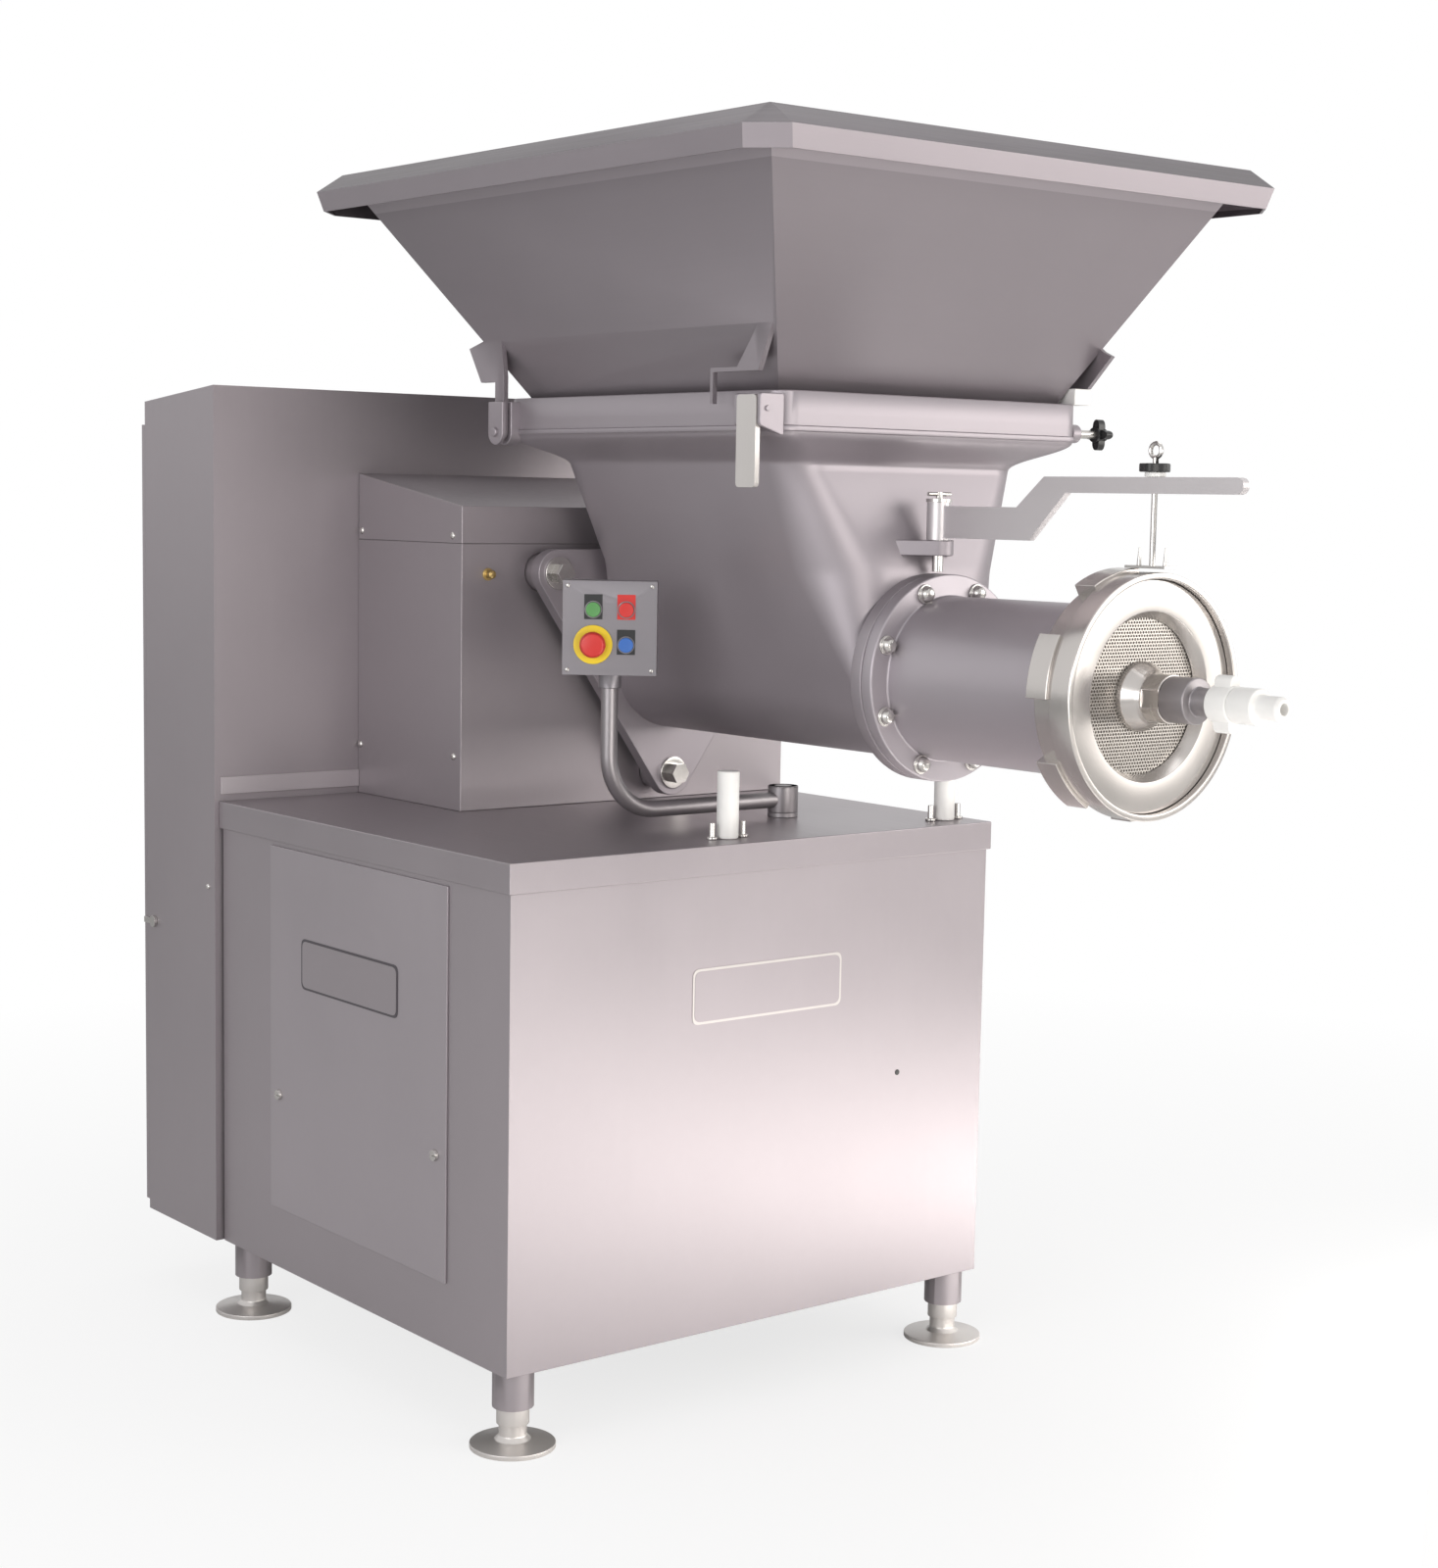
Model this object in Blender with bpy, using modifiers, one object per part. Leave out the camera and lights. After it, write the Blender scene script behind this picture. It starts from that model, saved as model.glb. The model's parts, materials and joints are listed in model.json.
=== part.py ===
"""Meat mincer: base and drive cabinets, grinding head, hopper, ring arm and controls.

X runs forward from the front face of the base, Y from the barrel axis with the operator at
negative Y, and Z up from the floor, until the last function moves the whole machine so that
the origin lies at the centre of its footprint. All sizes are in metres.
"""
import bpy
import bmesh
from math import asin, cos, pi, radians, sin, sqrt, tan
from mathutils import Matrix, Vector

# Clearances
GAP = 0.0003
BORE_GAP = 0.0003

# Base
BASE_LENGTH = 0.843
BASE_NEAR = 0.643
BASE_FAR = 0.272
BASE_BOTTOM = 0.114
BASE_TOP = 0.842
SKIRT = 0.044
COVER_SHEET = 0.003
COVER_OVERHANG = 0.005
CABINET_SHEET = 0.002
RAIL = 0.030
POST = 0.040
POST_DROP = 0.006
LEG_INSET = 0.040
MOTOR_RAIL_WIDTH = 0.040
SOCKET_RADIUS = 0.030
SOCKET_BOTTOM = 0.060
SOCKET_RISE = 0.022
FOOT_RADIUS = 0.0615
FOOT_THICKNESS = 0.007
FOOT_DOME = 0.011
STEM_RADIUS = 0.020
COLLAR_RADIUS = 0.0235
COLLAR_LENGTH = 0.025
STEM_TOP = 0.105
SIDE_DOOR_BACK = 0.674
SIDE_DOOR_FRONT = 0.160
SIDE_DOOR_BOTTOM = 0.212
SIDE_DOOR_TOP = 0.790
SIDE_DOOR_SHEET = 0.003
SIDE_DOOR_LAP = 0.014
FASTENER_OFFSET = 0.014
FASTENER_HEIGHT = 0.396
FASTENER_RADIUS = 0.009
FASTENER_HEAD = 0.005
FASTENER_STEM = 0.004
FASTENER_DEPTH = 0.012
FASTENER_SLOT = 0.0018

# Rear cabinet and its door
REAR_DEPTH = 0.243
REAR_NEAR = 0.650
REAR_FAR = 0.279
REAR_TOP_FRONT = 1.508
REAR_TOP_BACK = 1.486
REAR_FLANGE = 0.030
DOOR_DEPTH = 0.0107
DOOR_SHEET = 0.0015
DOOR_BOTTOM = 0.130
DOOR_TOP = 1.448
HINGE_REACH = 0.011
HINGE_SETBACK = 0.0055
HINGE_HEIGHTS = (0.330, 1.230)
KNUCKLE_RADIUS = 0.007
KNUCKLE_LENGTH = 0.040
HINGE_PIN_RADIUS = 0.004
HINGE_LUG = 0.010
HINGE_LUG_LENGTH = 0.036
LATCH_SETBACK = 0.026
LATCH_HEIGHT = 0.616
LATCH_RADIUS = 0.010
LATCH_THICKNESS = 0.005
LATCH_LEVER = 0.032
LATCH_LEVER_WIDTH = 0.010
STRIP_BOTTOM = 0.853
STRIP_TOP = 0.881
STRIP_THICKNESS = 0.0035
STRIP_INSET = 0.010

# Gearbox cover
COVER_FRONT = 0.5275
COVER_NEAR = 0.384
COVER_FAR = 0.276
COVER_SEAM = 1.265
LID_BACK = 1.374
LID_FRONT = 1.324

# Gearbox and drive, with the barrel axis at its height
AXIS_HEIGHT = 1.088
HOUSING_WALL = 0.018
HOUSING_INSET = 0.005
HOUSING_BACK = BASE_LENGTH - HOUSING_INSET
HOUSING_FRONT = 0.556
HOUSING_HALF_WIDTH = 0.165
HOUSING_TOP = 1.245
FLANGE_PLATE = 0.0252
LUG_SPREAD = 0.234
LUG_HEIGHT = 1.220
LOWER_LUG_HEIGHT = 0.890
LUG_RADIUS = 0.038
BOSS_RADIUS = 0.030
BOSS_LOBE = 0.036
GEAR_CENTRES = 0.150
GEAR_RATIO = 5
PINION_TEETH = 10
GEAR_FACE = 0.040
PINION_FACE = 0.046
GEAR_OFFSET = 0.023
GEAR_PLANE = (HOUSING_BACK + HOUSING_FRONT) / 2 + GEAR_OFFSET
TOOTH_HEIGHT = 0.6
TOOTH_SHARE = 0.36
OUTPUT_RADIUS = 0.030
OUTPUT_DRIVE = 0.036
OUTPUT_DRIVE_LENGTH = 0.044
SEAT_DEPTH = 0.0115
INPUT_RADIUS = 0.019
PULLEY_SETBACK = 0.1095
PULLEY_PLANE = BASE_LENGTH + PULLEY_SETBACK
PULLEY_WIDTH = 0.048
PULLEY_RIM = 0.006
PULLEY_FLANGE = 0.009
GEARBOX_PULLEY_RADIUS = 0.110
MOTOR_PULLEY_RADIUS = 0.055
BELT_THICKNESS = 0.009
SHAFT_HOLE = 0.026
MOTOR_HEIGHT = 0.275
MOTOR_RADIUS = 0.105
MOTOR_INSET = 0.043
MOTOR_LENGTH = 0.360
MOTOR_BACK = BASE_LENGTH - MOTOR_INSET
MOTOR_FRONT = MOTOR_BACK - MOTOR_LENGTH
MOTOR_SHIELD = 0.050
MOTOR_SHAFT_RADIUS = 0.019
MOTOR_SHAFT_SEAT = 0.120
MOTOR_FOOT_HALF_WIDTH = 0.100
MOTOR_RAIL_INSET = 0.070
MOTOR_SLOT = 0.060

# Bowl
BOWL_BACK = 0.495
BOWL_FRONT = 0.140
BOWL_WALL = 0.010
TROUGH_RADIUS = 0.122
WALL_SLOPE = 18.4
TROUGH_ANGLES = (WALL_SLOPE, 33, 48, 64, 80)
TROUGH_EDGE = 0.003
NECK_HEIGHT = 1.391
NECK_FRONT = 0.091
NECK_CORNER = 0.050
WAIST_HEIGHT = 1.239
WAIST_FRONT = 0.133
WAIST_CORNER = 0.100
RIM_BACK = 0.537
RIM_FRONT = 0.143
RIM_HALF_WIDTH = 0.298
RIM_BOTTOM = 1.436
RIM_TOP = 1.493
RIM_WALL = 0.012
RIM_CORNER = 0.030
LUG_PLATE_BACK = 0.500
LUG_PLATE_THICKNESS = 0.023
FLANGE_BACK = 0.133
FLANGE_THICKNESS = 0.022
FLANGE_RADIUS = 0.151
BOLT_CIRCLE = 0.133
NUT_COUNT = 8
NUT_FLATS = 0.024
NUT_HEIGHT = 0.012
SHOULDER_RADIUS = 0.1135
BOLT_FLATS = 0.030
BOLT_HEAD = 0.020
BOLT_WASHER_RADIUS = 0.021
BOLT_WASHER = 0.003
BOLT_RADIUS = 0.010
BOLT_END = 0.560
EAR_BOTTOM = 1.265
EAR_TOP = 1.287
EAR_ROOT = 0.112
EAR_HALF_WIDTH = 0.066
EAR_NOSE = 0.022

# Barrel, screw and cutting set
BORE_RADIUS = 0.111
BARREL_RADIUS = 0.1194
BARREL_NECK_END = 0.505
HEAD_RADIUS = 0.148
HEAD_END = 0.545
SCREW_SHAFT = 0.035
SCREW_RADIUS = 0.109
SCREW_BACK = 0.468
SCREW_SOCKET = 0.047
FLIGHT_BACK = 0.450
FLIGHT_FRONT = 0.500
FLIGHT_PITCH = 0.150
FLIGHT_THICKNESS = 0.010
KNIFE_BACK = 0.512
KNIFE_THICKNESS = 0.0197
KNIFE_RADIUS = 0.100
KNIFE_HUB = 0.034
KNIFE_ARM = 0.026
KNIFE_SQUARE = 0.030
PLATE_THICKNESS = 0.0167
PLATE_BORE = 0.0153
RING_BACK = 0.503
RING_STEP = 0.540
RING_FRONT = 0.577
RING_RADIUS = 0.1665
RING_BAND_RADIUS = 0.155
RING_LUG_RADIUS = 0.171
RING_LUG_ARC = 30
RING_LUG_STARTS = (30, 90, 150, 210, 270, 330)
BRIDGE_FLANGE_RADIUS = 0.160
BRIDGE_RADIUS = 0.1565
BRIDGE_FLANGE_END = 0.560
BRIDGE_FRONT = 0.567
BRIDGE_OPENING = 0.115
BRIDGE_BORE = 0.105

# Centre discharge
HUB_BASE_RADIUS = 0.048
HUB_RADIUS = 0.033
HUB_CONE_END = 0.578
HUB_END = 0.608
HUB_FLATS = 0.060
DISCHARGE_BORE = 0.008
COUPLING_RADIUS = 0.031
COUPLING_END = 0.650
COUPLING_NECK = 0.019
COUPLING_NECK_END = 0.680
HANDLE_END = 0.716
HANDLE_HUB = 0.025
HANDLE_SPAN = 0.076
HANDLE_WING = 0.018
VALVE_STEM = 0.014
VALVE_RADIUS = 0.024
VALVE_BODY_END = 0.755
SPOUT_RADIUS = 0.016
SPOUT_END = 0.794

# Hopper
HOPPER_BACK = 0.497
HOPPER_FRONT = 0.109
HOPPER_HALF_WIDTH = 0.275
HOPPER_TOP = 1.843
HOPPER_TOP_BACK = 0.758
HOPPER_TOP_FRONT = 0.311
HOPPER_TOP_HALF_WIDTH = 0.466
FASCIA_OFFSET = 0.0455
FASCIA_TOP = 1.813
FASCIA_BOTTOM = 1.783
FASCIA_LEAN = 0.008
FASCIA_CHAMFER = 0.045
HOPPER_SHEET = 0.003
GUSSET = 0.008
GUSSET_RISE = 0.079
GUSSET_REACH = 0.053
BRACKET_HEIGHT = 1.518
HOOK_DROP = 0.044
HOOK_SPAN = 0.097
FOOT_TOE = 0.011
TONGUE = 0.008
PIVOT_X = -0.516
PIVOT_Z = 1.440
CLEVIS_STANDOFF = 0.017
CLEVIS_HALF_WIDTH = 0.020
TONGUE_HALF_WIDTH = 0.0125
CHEEK = 0.007
CHEEK_TOP = 1.487
CHEEK_END_RADIUS = 0.018
CLEVIS_GAP = 0.0007
PIVOT_PIN_RADIUS = 0.004
LEVER_WIDTH = 0.042
LEVER_THICKNESS = 0.008
LEVER_TOP = 1.485
LEVER_BOTTOM = 1.358
LEVER_X = 0.114
LEVER_PIVOT_HEIGHT = 1.466
LEVER_PIVOT_Y = 0.322

# Star knob
STAR_X = 0.118
STAR_HEIGHT = 1.450
STAR_ROD_RADIUS = 0.0065
STAR_ROD_END = 0.350
STAR_RADIUS = 0.0235
STAR_HUB = 0.0125
STAR_LENGTH = 0.025
STAR_LOBE = 0.0065
STAR_GRIP_START = 0.0045
STAR_GRIP_LENGTH = 0.014

# Ring arm
ARM_X = 0.148
ARM_HUB_RADIUS = 0.0175
ARM_HUB_BOTTOM = 1.2875
ARM_HUB_TOP = 1.342
ARM_PIN_RADIUS = 0.008
ARM_PIN_BOTTOM = 1.242
ARM_CAP_RADIUS = 0.019
ARM_CAP = 0.005
ARM_STEM_TOP = 1.357
ARM_STEM_RADIUS = 0.005
ARM_HANDLE_LENGTH = 0.044
ARM_HANDLE_RADIUS = 0.003
ARM_THICKNESS = 0.012
ARM_LOW = (1.291, 1.337)
ARM_HIGH = (1.358, 1.380)
ARM_BEND_TOP = (0.311, 0.363)
ARM_BEND_BOTTOM = (0.336, 0.405)
ARM_END = 0.718
HANGER_X = 0.562
HANGER_ROD_RADIUS = 0.004
HANGER_PLATE_HALF_LENGTH = 0.0355
HANGER_PLATE_THICKNESS = 0.0035
HANGER_PLATE_WIDTH = 0.030
HANGER_PIN_RADIUS = 0.0035
HANGER_PIN_HEIGHT = 0.024
HANGER_PIN_SPREAD = 0.023
HANGER_CLEARANCE = 0.0005
WASHER_RADIUS = 0.014
WASHER_THICKNESS = 0.006
HANGER_KNOB_RADIUS = 0.0195
HANGER_KNOB_HEIGHT = 0.016
HANGER_KNOB_LOBES = 5
EYE_RADIUS = 0.0095
EYE_WIRE = 0.003

# Controls
CONTROL_X = 0.222
CONTROL_SOCKET_Y = 0.026
CONTROL_SOCKET_RADIUS = 0.024
CONTROL_SOCKET_BASE = 0.007
CONTROL_SOCKET_TOP = 0.888
CONTROL_PIN_RADIUS = 0.012
CONTROL_TUBE_RADIUS = 0.0127
CONTROL_TUBE_HEIGHT = 0.8695
CONTROL_TUBE_BEND = 0.085
CONTROL_Y = 0.317
CONTROL_TUBE_TOP = 1.057
CONTROL_GLAND_RADIUS = 0.017
CONTROL_BOX_BOTTOM = 1.078
CONTROL_BOX_SIZE = 0.140
CONTROL_BOX_DEPTH = 0.062
CONTROL_BOX_WALL = 0.003
CONTROL_PANEL = 0.003
CONTROL_YAW = 51.5
BUTTON_OFFSET = 0.0245
BUTTON_RAISE = 0.0275
BUTTON_RADIUS = 0.011
BUTTON_PROUD = 0.008
BUTTON_DEPTH = 0.014
BUTTON_COLLAR = 0.013
BUTTON_COLLAR_HEIGHT = 0.003
ESTOP_DISC_RADIUS = 0.029
ESTOP_DISC = 0.003
ESTOP_RADIUS = 0.0195
ESTOP_STEM = 0.008
ESTOP_CLEARANCE = 0.006
ESTOP_HEAD = 0.013

# Posts on the base top
POST_X = 0.055
POST_Y = 0.220
POST_RADIUS = 0.0165
POST_HEIGHT = 0.101

ROUND = 18
FINE = 32
PLANES = {"x": Matrix(((0, 0, 1), (1, 0, 0), (0, 1, 0))),
          "y": Matrix(((1, 0, 0), (0, 0, -1), (0, 1, 0))),
          "z": Matrix.Identity(3)}


# Collections and materials


# Local shares: each is how much of the measure named before it a small feature takes

PIN_SHARE = 0.8
LUG_SINK_SHARE = 0.9
LUG_LIP_SHARE = 0.1
LEAF_BACK_SHARE = 0.6
LEAF_SINK_SHARE = 0.7
LEAF_FRONT_SHARE = 0.4
LATCH_BACK_SHARE = 0.8
LATCH_FRONT_SHARE = 0.1
MOTOR_SHAFT_SHARE = 0.6
MOTOR_STEP_SHARE = 0.85
CORNER_LIMIT = 0.9
PIVOT_OUTER_SHARE = 0.7
WASHER_SINK_SHARE = 0.9
STUD_SINK_SHARE = 0.95
FLIGHT_ROOT_SHARE = 0.8
KNIFE_EDGE_SHARE = 0.05
BAND_OVERLAP_SHARE = 0.98
SPOUT_MOUTH_SHARE = 0.8
SPOUT_EDGE_SHARE = 0.3
REAR_GUSSET_TOP_SHARE = 0.68
REAR_GUSSET_REACH_SHARE = 0.9
HOOK_SHARE = 0.75
FRONT_GUSSET_TOP_SHARE = 0.63
GUSSET_CREST_SHARE = 0.75
GUSSET_SLOPE_SHARE = 0.95
TONGUE_TOP_SHARE = 0.7
LEVER_FACE_SHARE = 0.35
LEVER_ROUND_SHARE = 0.75
ROD_SINK_SHARE = 0.2
ESTOP_TOP_SHARE = 0.8


for old in list(bpy.data.objects):
    bpy.data.objects.remove(old, do_unlink=True)

PARTS = bpy.data.collections.new("meat_mincer")
CUTTERS = bpy.data.collections.new("cutters")
bpy.context.scene.collection.children.link(PARTS)
bpy.context.scene.collection.children.link(CUTTERS)


def finish(name, colour, roughness, metallic):
    """A plain finish with one colour, roughness and metallic value."""
    material = bpy.data.materials.new(name)
    material.use_nodes = True
    shader = material.node_tree.nodes["Principled BSDF"]
    shader.inputs["Base Color"].default_value = (*colour, 1)
    shader.inputs["Roughness"].default_value = roughness
    shader.inputs["Metallic"].default_value = metallic
    return material


STEEL = finish("brushed_steel", (0.55, 0.52, 0.53), 0.38, 1.0)
CAST = finish("blasted_steel", (0.50, 0.47, 0.48), 0.5, 1.0)
BRIGHT = finish("turned_steel", (0.78, 0.76, 0.73), 0.2, 1.0)
DARK_STEEL = finish("machined_steel", (0.30, 0.30, 0.31), 0.4, 1.0)
IRON = finish("painted_iron", (0.16, 0.20, 0.24), 0.5, 0.0)
WHITE = finish("white_plastic", (0.82, 0.82, 0.80), 0.45, 0.0)
BLACK = finish("black_plastic", (0.02, 0.02, 0.02), 0.4, 0.0)
RUBBER = finish("belt_rubber", (0.03, 0.03, 0.03), 0.8, 0.0)
GREEN = finish("green_button", (0.10, 0.35, 0.12), 0.35, 0.0)
RED = finish("red_button", (0.60, 0.03, 0.03), 0.35, 0.0)
BLUE = finish("blue_button", (0.05, 0.16, 0.45), 0.35, 0.0)
YELLOW = finish("yellow_disc", (0.80, 0.62, 0.03), 0.4, 0.0)


# Shape helpers

def add_mesh(name, bm):
    """An object in the parts collection that holds a bmesh's geometry."""
    bmesh.ops.recalc_face_normals(bm, faces=bm.faces)
    mesh = bpy.data.meshes.new(name)
    bm.to_mesh(mesh)
    bm.free()
    item = bpy.data.objects.new(name, mesh)
    PARTS.objects.link(item)
    return item


def box(name, low, high):
    """A block between two opposite corners."""
    bm = bmesh.new()
    bmesh.ops.create_cube(bm, size=1)
    size = Vector(high) - Vector(low)
    bmesh.ops.scale(bm, vec=size, verts=bm.verts)
    bmesh.ops.translate(bm, vec=Vector(low) + size / 2, verts=bm.verts)
    return add_mesh(name, bm)


def rod(name, start, end, radius, sides=ROUND, end_radius=None, turn=0.0):
    """A cylinder, cone or prism between two points."""
    start = Vector(start)
    along = Vector(end) - start
    bm = bmesh.new()
    bmesh.ops.create_cone(bm, cap_ends=True, segments=sides, radius1=radius,
                          radius2=radius if end_radius is None else end_radius, depth=along.length)
    bmesh.ops.rotate(bm, cent=(0, 0, 0), matrix=Matrix.Rotation(turn, 3, "Z"), verts=bm.verts)
    direction = Vector((0, 0, 1)).rotation_difference(along).to_matrix()
    bmesh.ops.rotate(bm, cent=(0, 0, 0), matrix=direction, verts=bm.verts)
    bmesh.ops.translate(bm, vec=start + along / 2, verts=bm.verts)
    item = add_mesh(name, bm)
    soften(item)
    return item


def soften(item):
    """Smooth shading with sharp edges kept."""
    item.data.shade_smooth()
    item.data.set_sharp_from_angle(angle=radians(30))


def turned(name, profile, where, axis="z", steps=FINE):
    """A turned shape from (radius, height) pairs, heights from `where` along an axis.

    The pairs run down the outer side, and back up the bore where there is one.
    """
    bored = all(radius > 0 for radius, _ in profile)
    mesh = bpy.data.meshes.new(name)
    count = len(profile)
    edges = [(i, (i + 1) % count) for i in range(count if bored else count - 1)]
    mesh.from_pydata([(radius, 0, height) for radius, height in profile], edges, [])
    item = bpy.data.objects.new(name, mesh)
    PARTS.objects.link(item)
    item.matrix_world = Matrix.Translation(where) @ PLANES[axis].to_4x4()
    screw = item.modifiers.new("turn", "SCREW")
    screw.axis = "Z"
    screw.steps = steps
    screw.render_steps = steps
    screw.use_merge_vertices = True
    screw.merge_threshold = 0.00001
    return as_mesh(item)


def as_mesh(item):
    """The object's evaluated shape as a plain mesh object of the same name and place."""
    bpy.context.view_layer.update()
    graph = bpy.context.evaluated_depsgraph_get()
    mesh = bpy.data.meshes.new_from_object(item.evaluated_get(graph))
    bm = bmesh.new()
    bm.from_mesh(mesh)
    bmesh.ops.remove_doubles(bm, verts=bm.verts, dist=0.000005)
    bmesh.ops.recalc_face_normals(bm, faces=bm.faces)
    bm.to_mesh(mesh)
    bm.free()
    name = item.name
    place = item.matrix_world.copy()
    bpy.data.objects.remove(item, do_unlink=True)
    solid = bpy.data.objects.new(name, mesh)
    PARTS.objects.link(solid)
    solid.matrix_world = place
    soften(solid)
    return solid


def clear(radius, sides=ROUND):
    """The radius of a bore whose flats clear a shaft by the bore gap."""
    return (radius + BORE_GAP) / cos(pi / sides)


def flat(name, outlines, low, high, axis):
    """Closed outlines filled and given a thickness from `low` to `high` along an axis."""
    curve = bpy.data.curves.new(name, "CURVE")
    curve.dimensions = "2D"
    curve.fill_mode = "BOTH"
    curve.extrude = (high - low) / 2
    for outline in outlines:
        spline = curve.splines.new("POLY")
        spline.points.add(len(outline) - 1)
        for point, (across, up) in zip(spline.points, outline):
            point.co = (across, up, 0, 1)
        spline.use_cyclic_u = True
    item = bpy.data.objects.new(name, curve)
    PARTS.objects.link(item)
    middle = PLANES[axis] @ Vector((0, 0, (low + high) / 2))
    item.matrix_world = Matrix.Translation(middle) @ PLANES[axis].to_4x4()
    return as_mesh(item)


def plate(name, outline, low, high, axis="x"):
    """A flat plate; on the y axis `low` and `high` count toward negative Y."""
    return flat(name, [outline], low, high, axis)


def tube(name, points, radius):
    """A round bar through points."""
    curve = bpy.data.curves.new(name, "CURVE")
    curve.dimensions = "3D"
    curve.bevel_depth = radius
    curve.bevel_resolution = 2
    curve.use_fill_caps = True
    spline = curve.splines.new("POLY")
    spline.points.add(len(points) - 1)
    for point, place in zip(spline.points, points):
        point.co = (*place, 1)
    item = bpy.data.objects.new(name, curve)
    PARTS.objects.link(item)
    return as_mesh(item)


def loft(name, sections, closed_ends=True):
    """A skin over rings with the same number of points."""
    bm = bmesh.new()
    rings = [[bm.verts.new(point) for point in section] for section in sections]
    for lower, upper in zip(rings, rings[1:]):
        for i in range(len(lower)):
            j = (i + 1) % len(lower)
            bm.faces.new((lower[i], lower[j], upper[j], upper[i]))
    if closed_ends:
        bm.faces.new(rings[0])
        bm.faces.new(rings[-1])
    item = add_mesh(name, bm)
    soften(item)
    return item


def shell(name, low, high, sheet, open_sides):
    """A sheet box, its outside between two corners, with some sides left open."""
    item = box(name, low, high)
    bm = bmesh.new()
    bm.from_mesh(item.data)
    gone = [face for face in bm.faces for side in open_sides
            if face.normal.dot(Vector(side)) > 0.99]
    bmesh.ops.delete(bm, geom=gone, context="FACES")
    bm.to_mesh(item.data)
    bm.free()
    thicken(item, sheet)
    return item


def thicken(item, sheet):
    """Sheet thickness added inward."""
    solidify = item.modifiers.new("sheet", "SOLIDIFY")
    solidify.thickness = sheet
    solidify.offset = -1
    solidify.use_even_offset = True


def combine(target, tools, operation):
    """Boolean modifiers on the target; the tools move to the cutters' collection."""
    for tool in tools:
        change = target.modifiers.new(tool.name, "BOOLEAN")
        change.operation = operation
        change.solver = "EXACT"
        change.object = tool
        PARTS.objects.unlink(tool)
        CUTTERS.objects.link(tool)
        tool.name = f"{target.name}_{tool.name}"
        tool.hide_render = True
        tool.display_type = "WIRE"
    return target


def cut(target, *tools):
    return combine(target, tools, "DIFFERENCE")


def join(target, *tools):
    return combine(target, tools, "UNION")


def arc(centre, radius, start, end, steps):
    """Points along an arc, angles in degrees."""
    points = []
    for i in range(steps + 1):
        angle = radians(start + (end - start) * i / steps)
        points.append((centre[0] + radius * cos(angle), centre[1] + radius * sin(angle)))
    return points


def rounded(low, high, radius, steps=3):
    """A rounded rectangle's outline, anticlockwise from its right lower corner."""
    outline = []
    corners = (((high[0] - radius, low[1] + radius), -90), ((high[0] - radius, high[1] - radius), 0),
               ((low[0] + radius, high[1] - radius), 90), ((low[0] + radius, low[1] + radius), 180))
    for centre, start in corners:
        outline += arc(centre, radius, start, start + 90, steps)
    return outline


def belt_line(lower, lower_radius, upper, upper_radius, steps):
    """The outline of a belt over a lower and a larger upper wheel, one above the other."""
    lean = asin((upper_radius - lower_radius) / (upper[1] - lower[1])) * 180 / pi
    return (arc(upper, upper_radius, -lean, 180 + lean, steps)
            + arc(lower, lower_radius, 180 + lean, 360 - lean, steps))


def lobes(centres, radius, steps):
    """The outline round three equal discs, given in anticlockwise order."""
    outline = []
    for i, centre in enumerate(centres):
        last = Vector(centres[i - 1])
        following = Vector(centres[(i + 1) % len(centres)])
        entry = Vector(centre) - last
        leave = following - Vector(centre)
        start = Vector((entry.y, -entry.x))
        end = Vector((leave.y, -leave.x))
        first = Vector((1, 0)).angle_signed(start) * -180 / pi
        sweep = start.angle_signed(end) * -180 / pi
        outline += arc(centre, radius, first, first + sweep % 360, steps)
    return outline


def paint(material, *items):
    for item in items:
        item.data.materials.clear()
        item.data.materials.append(material)


def pivot(name, place, parent=None):
    """An empty on a joint's axis."""
    empty = bpy.data.objects.new(name, None)
    empty.empty_display_size = 0.05
    PARTS.objects.link(empty)
    empty.location = place
    bpy.context.view_layer.update()
    if parent is not None:
        carry(parent, empty)
    return empty


def carry(parent, *items):
    """Parents the items without moving them."""
    bpy.context.view_layer.update()
    for item in items:
        item.parent = parent
        item.matrix_parent_inverse = parent.matrix_world.inverted()


# Base

CABINET_OUT = COVER_OVERHANG
CABINET_IN = COVER_OVERHANG + CABINET_SHEET
UNDER_COVER = BASE_TOP - COVER_SHEET - GAP
LEG_PLACES = {"front_near": (-LEG_INSET, LEG_INSET - BASE_NEAR),
              "front_far": (-LEG_INSET, BASE_FAR - LEG_INSET),
              "rear_near": (LEG_INSET - BASE_LENGTH, LEG_INSET - BASE_NEAR),
              "rear_far": (LEG_INSET - BASE_LENGTH, BASE_FAR - LEG_INSET)}


def base_corners(inset, bottom, top):
    """Opposite corners of the base's box, inset all round."""
    return ((inset - BASE_LENGTH, inset - BASE_NEAR, bottom), (-inset, BASE_FAR - inset, top))


def frame_ring(name, bottom, top):
    """A rail that runs round inside the cabinet."""
    low, high = base_corners(CABINET_IN + GAP, bottom, top)
    return shell(name, low, high, RAIL, [(0, 0, 1), (0, 0, -1)])


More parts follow.
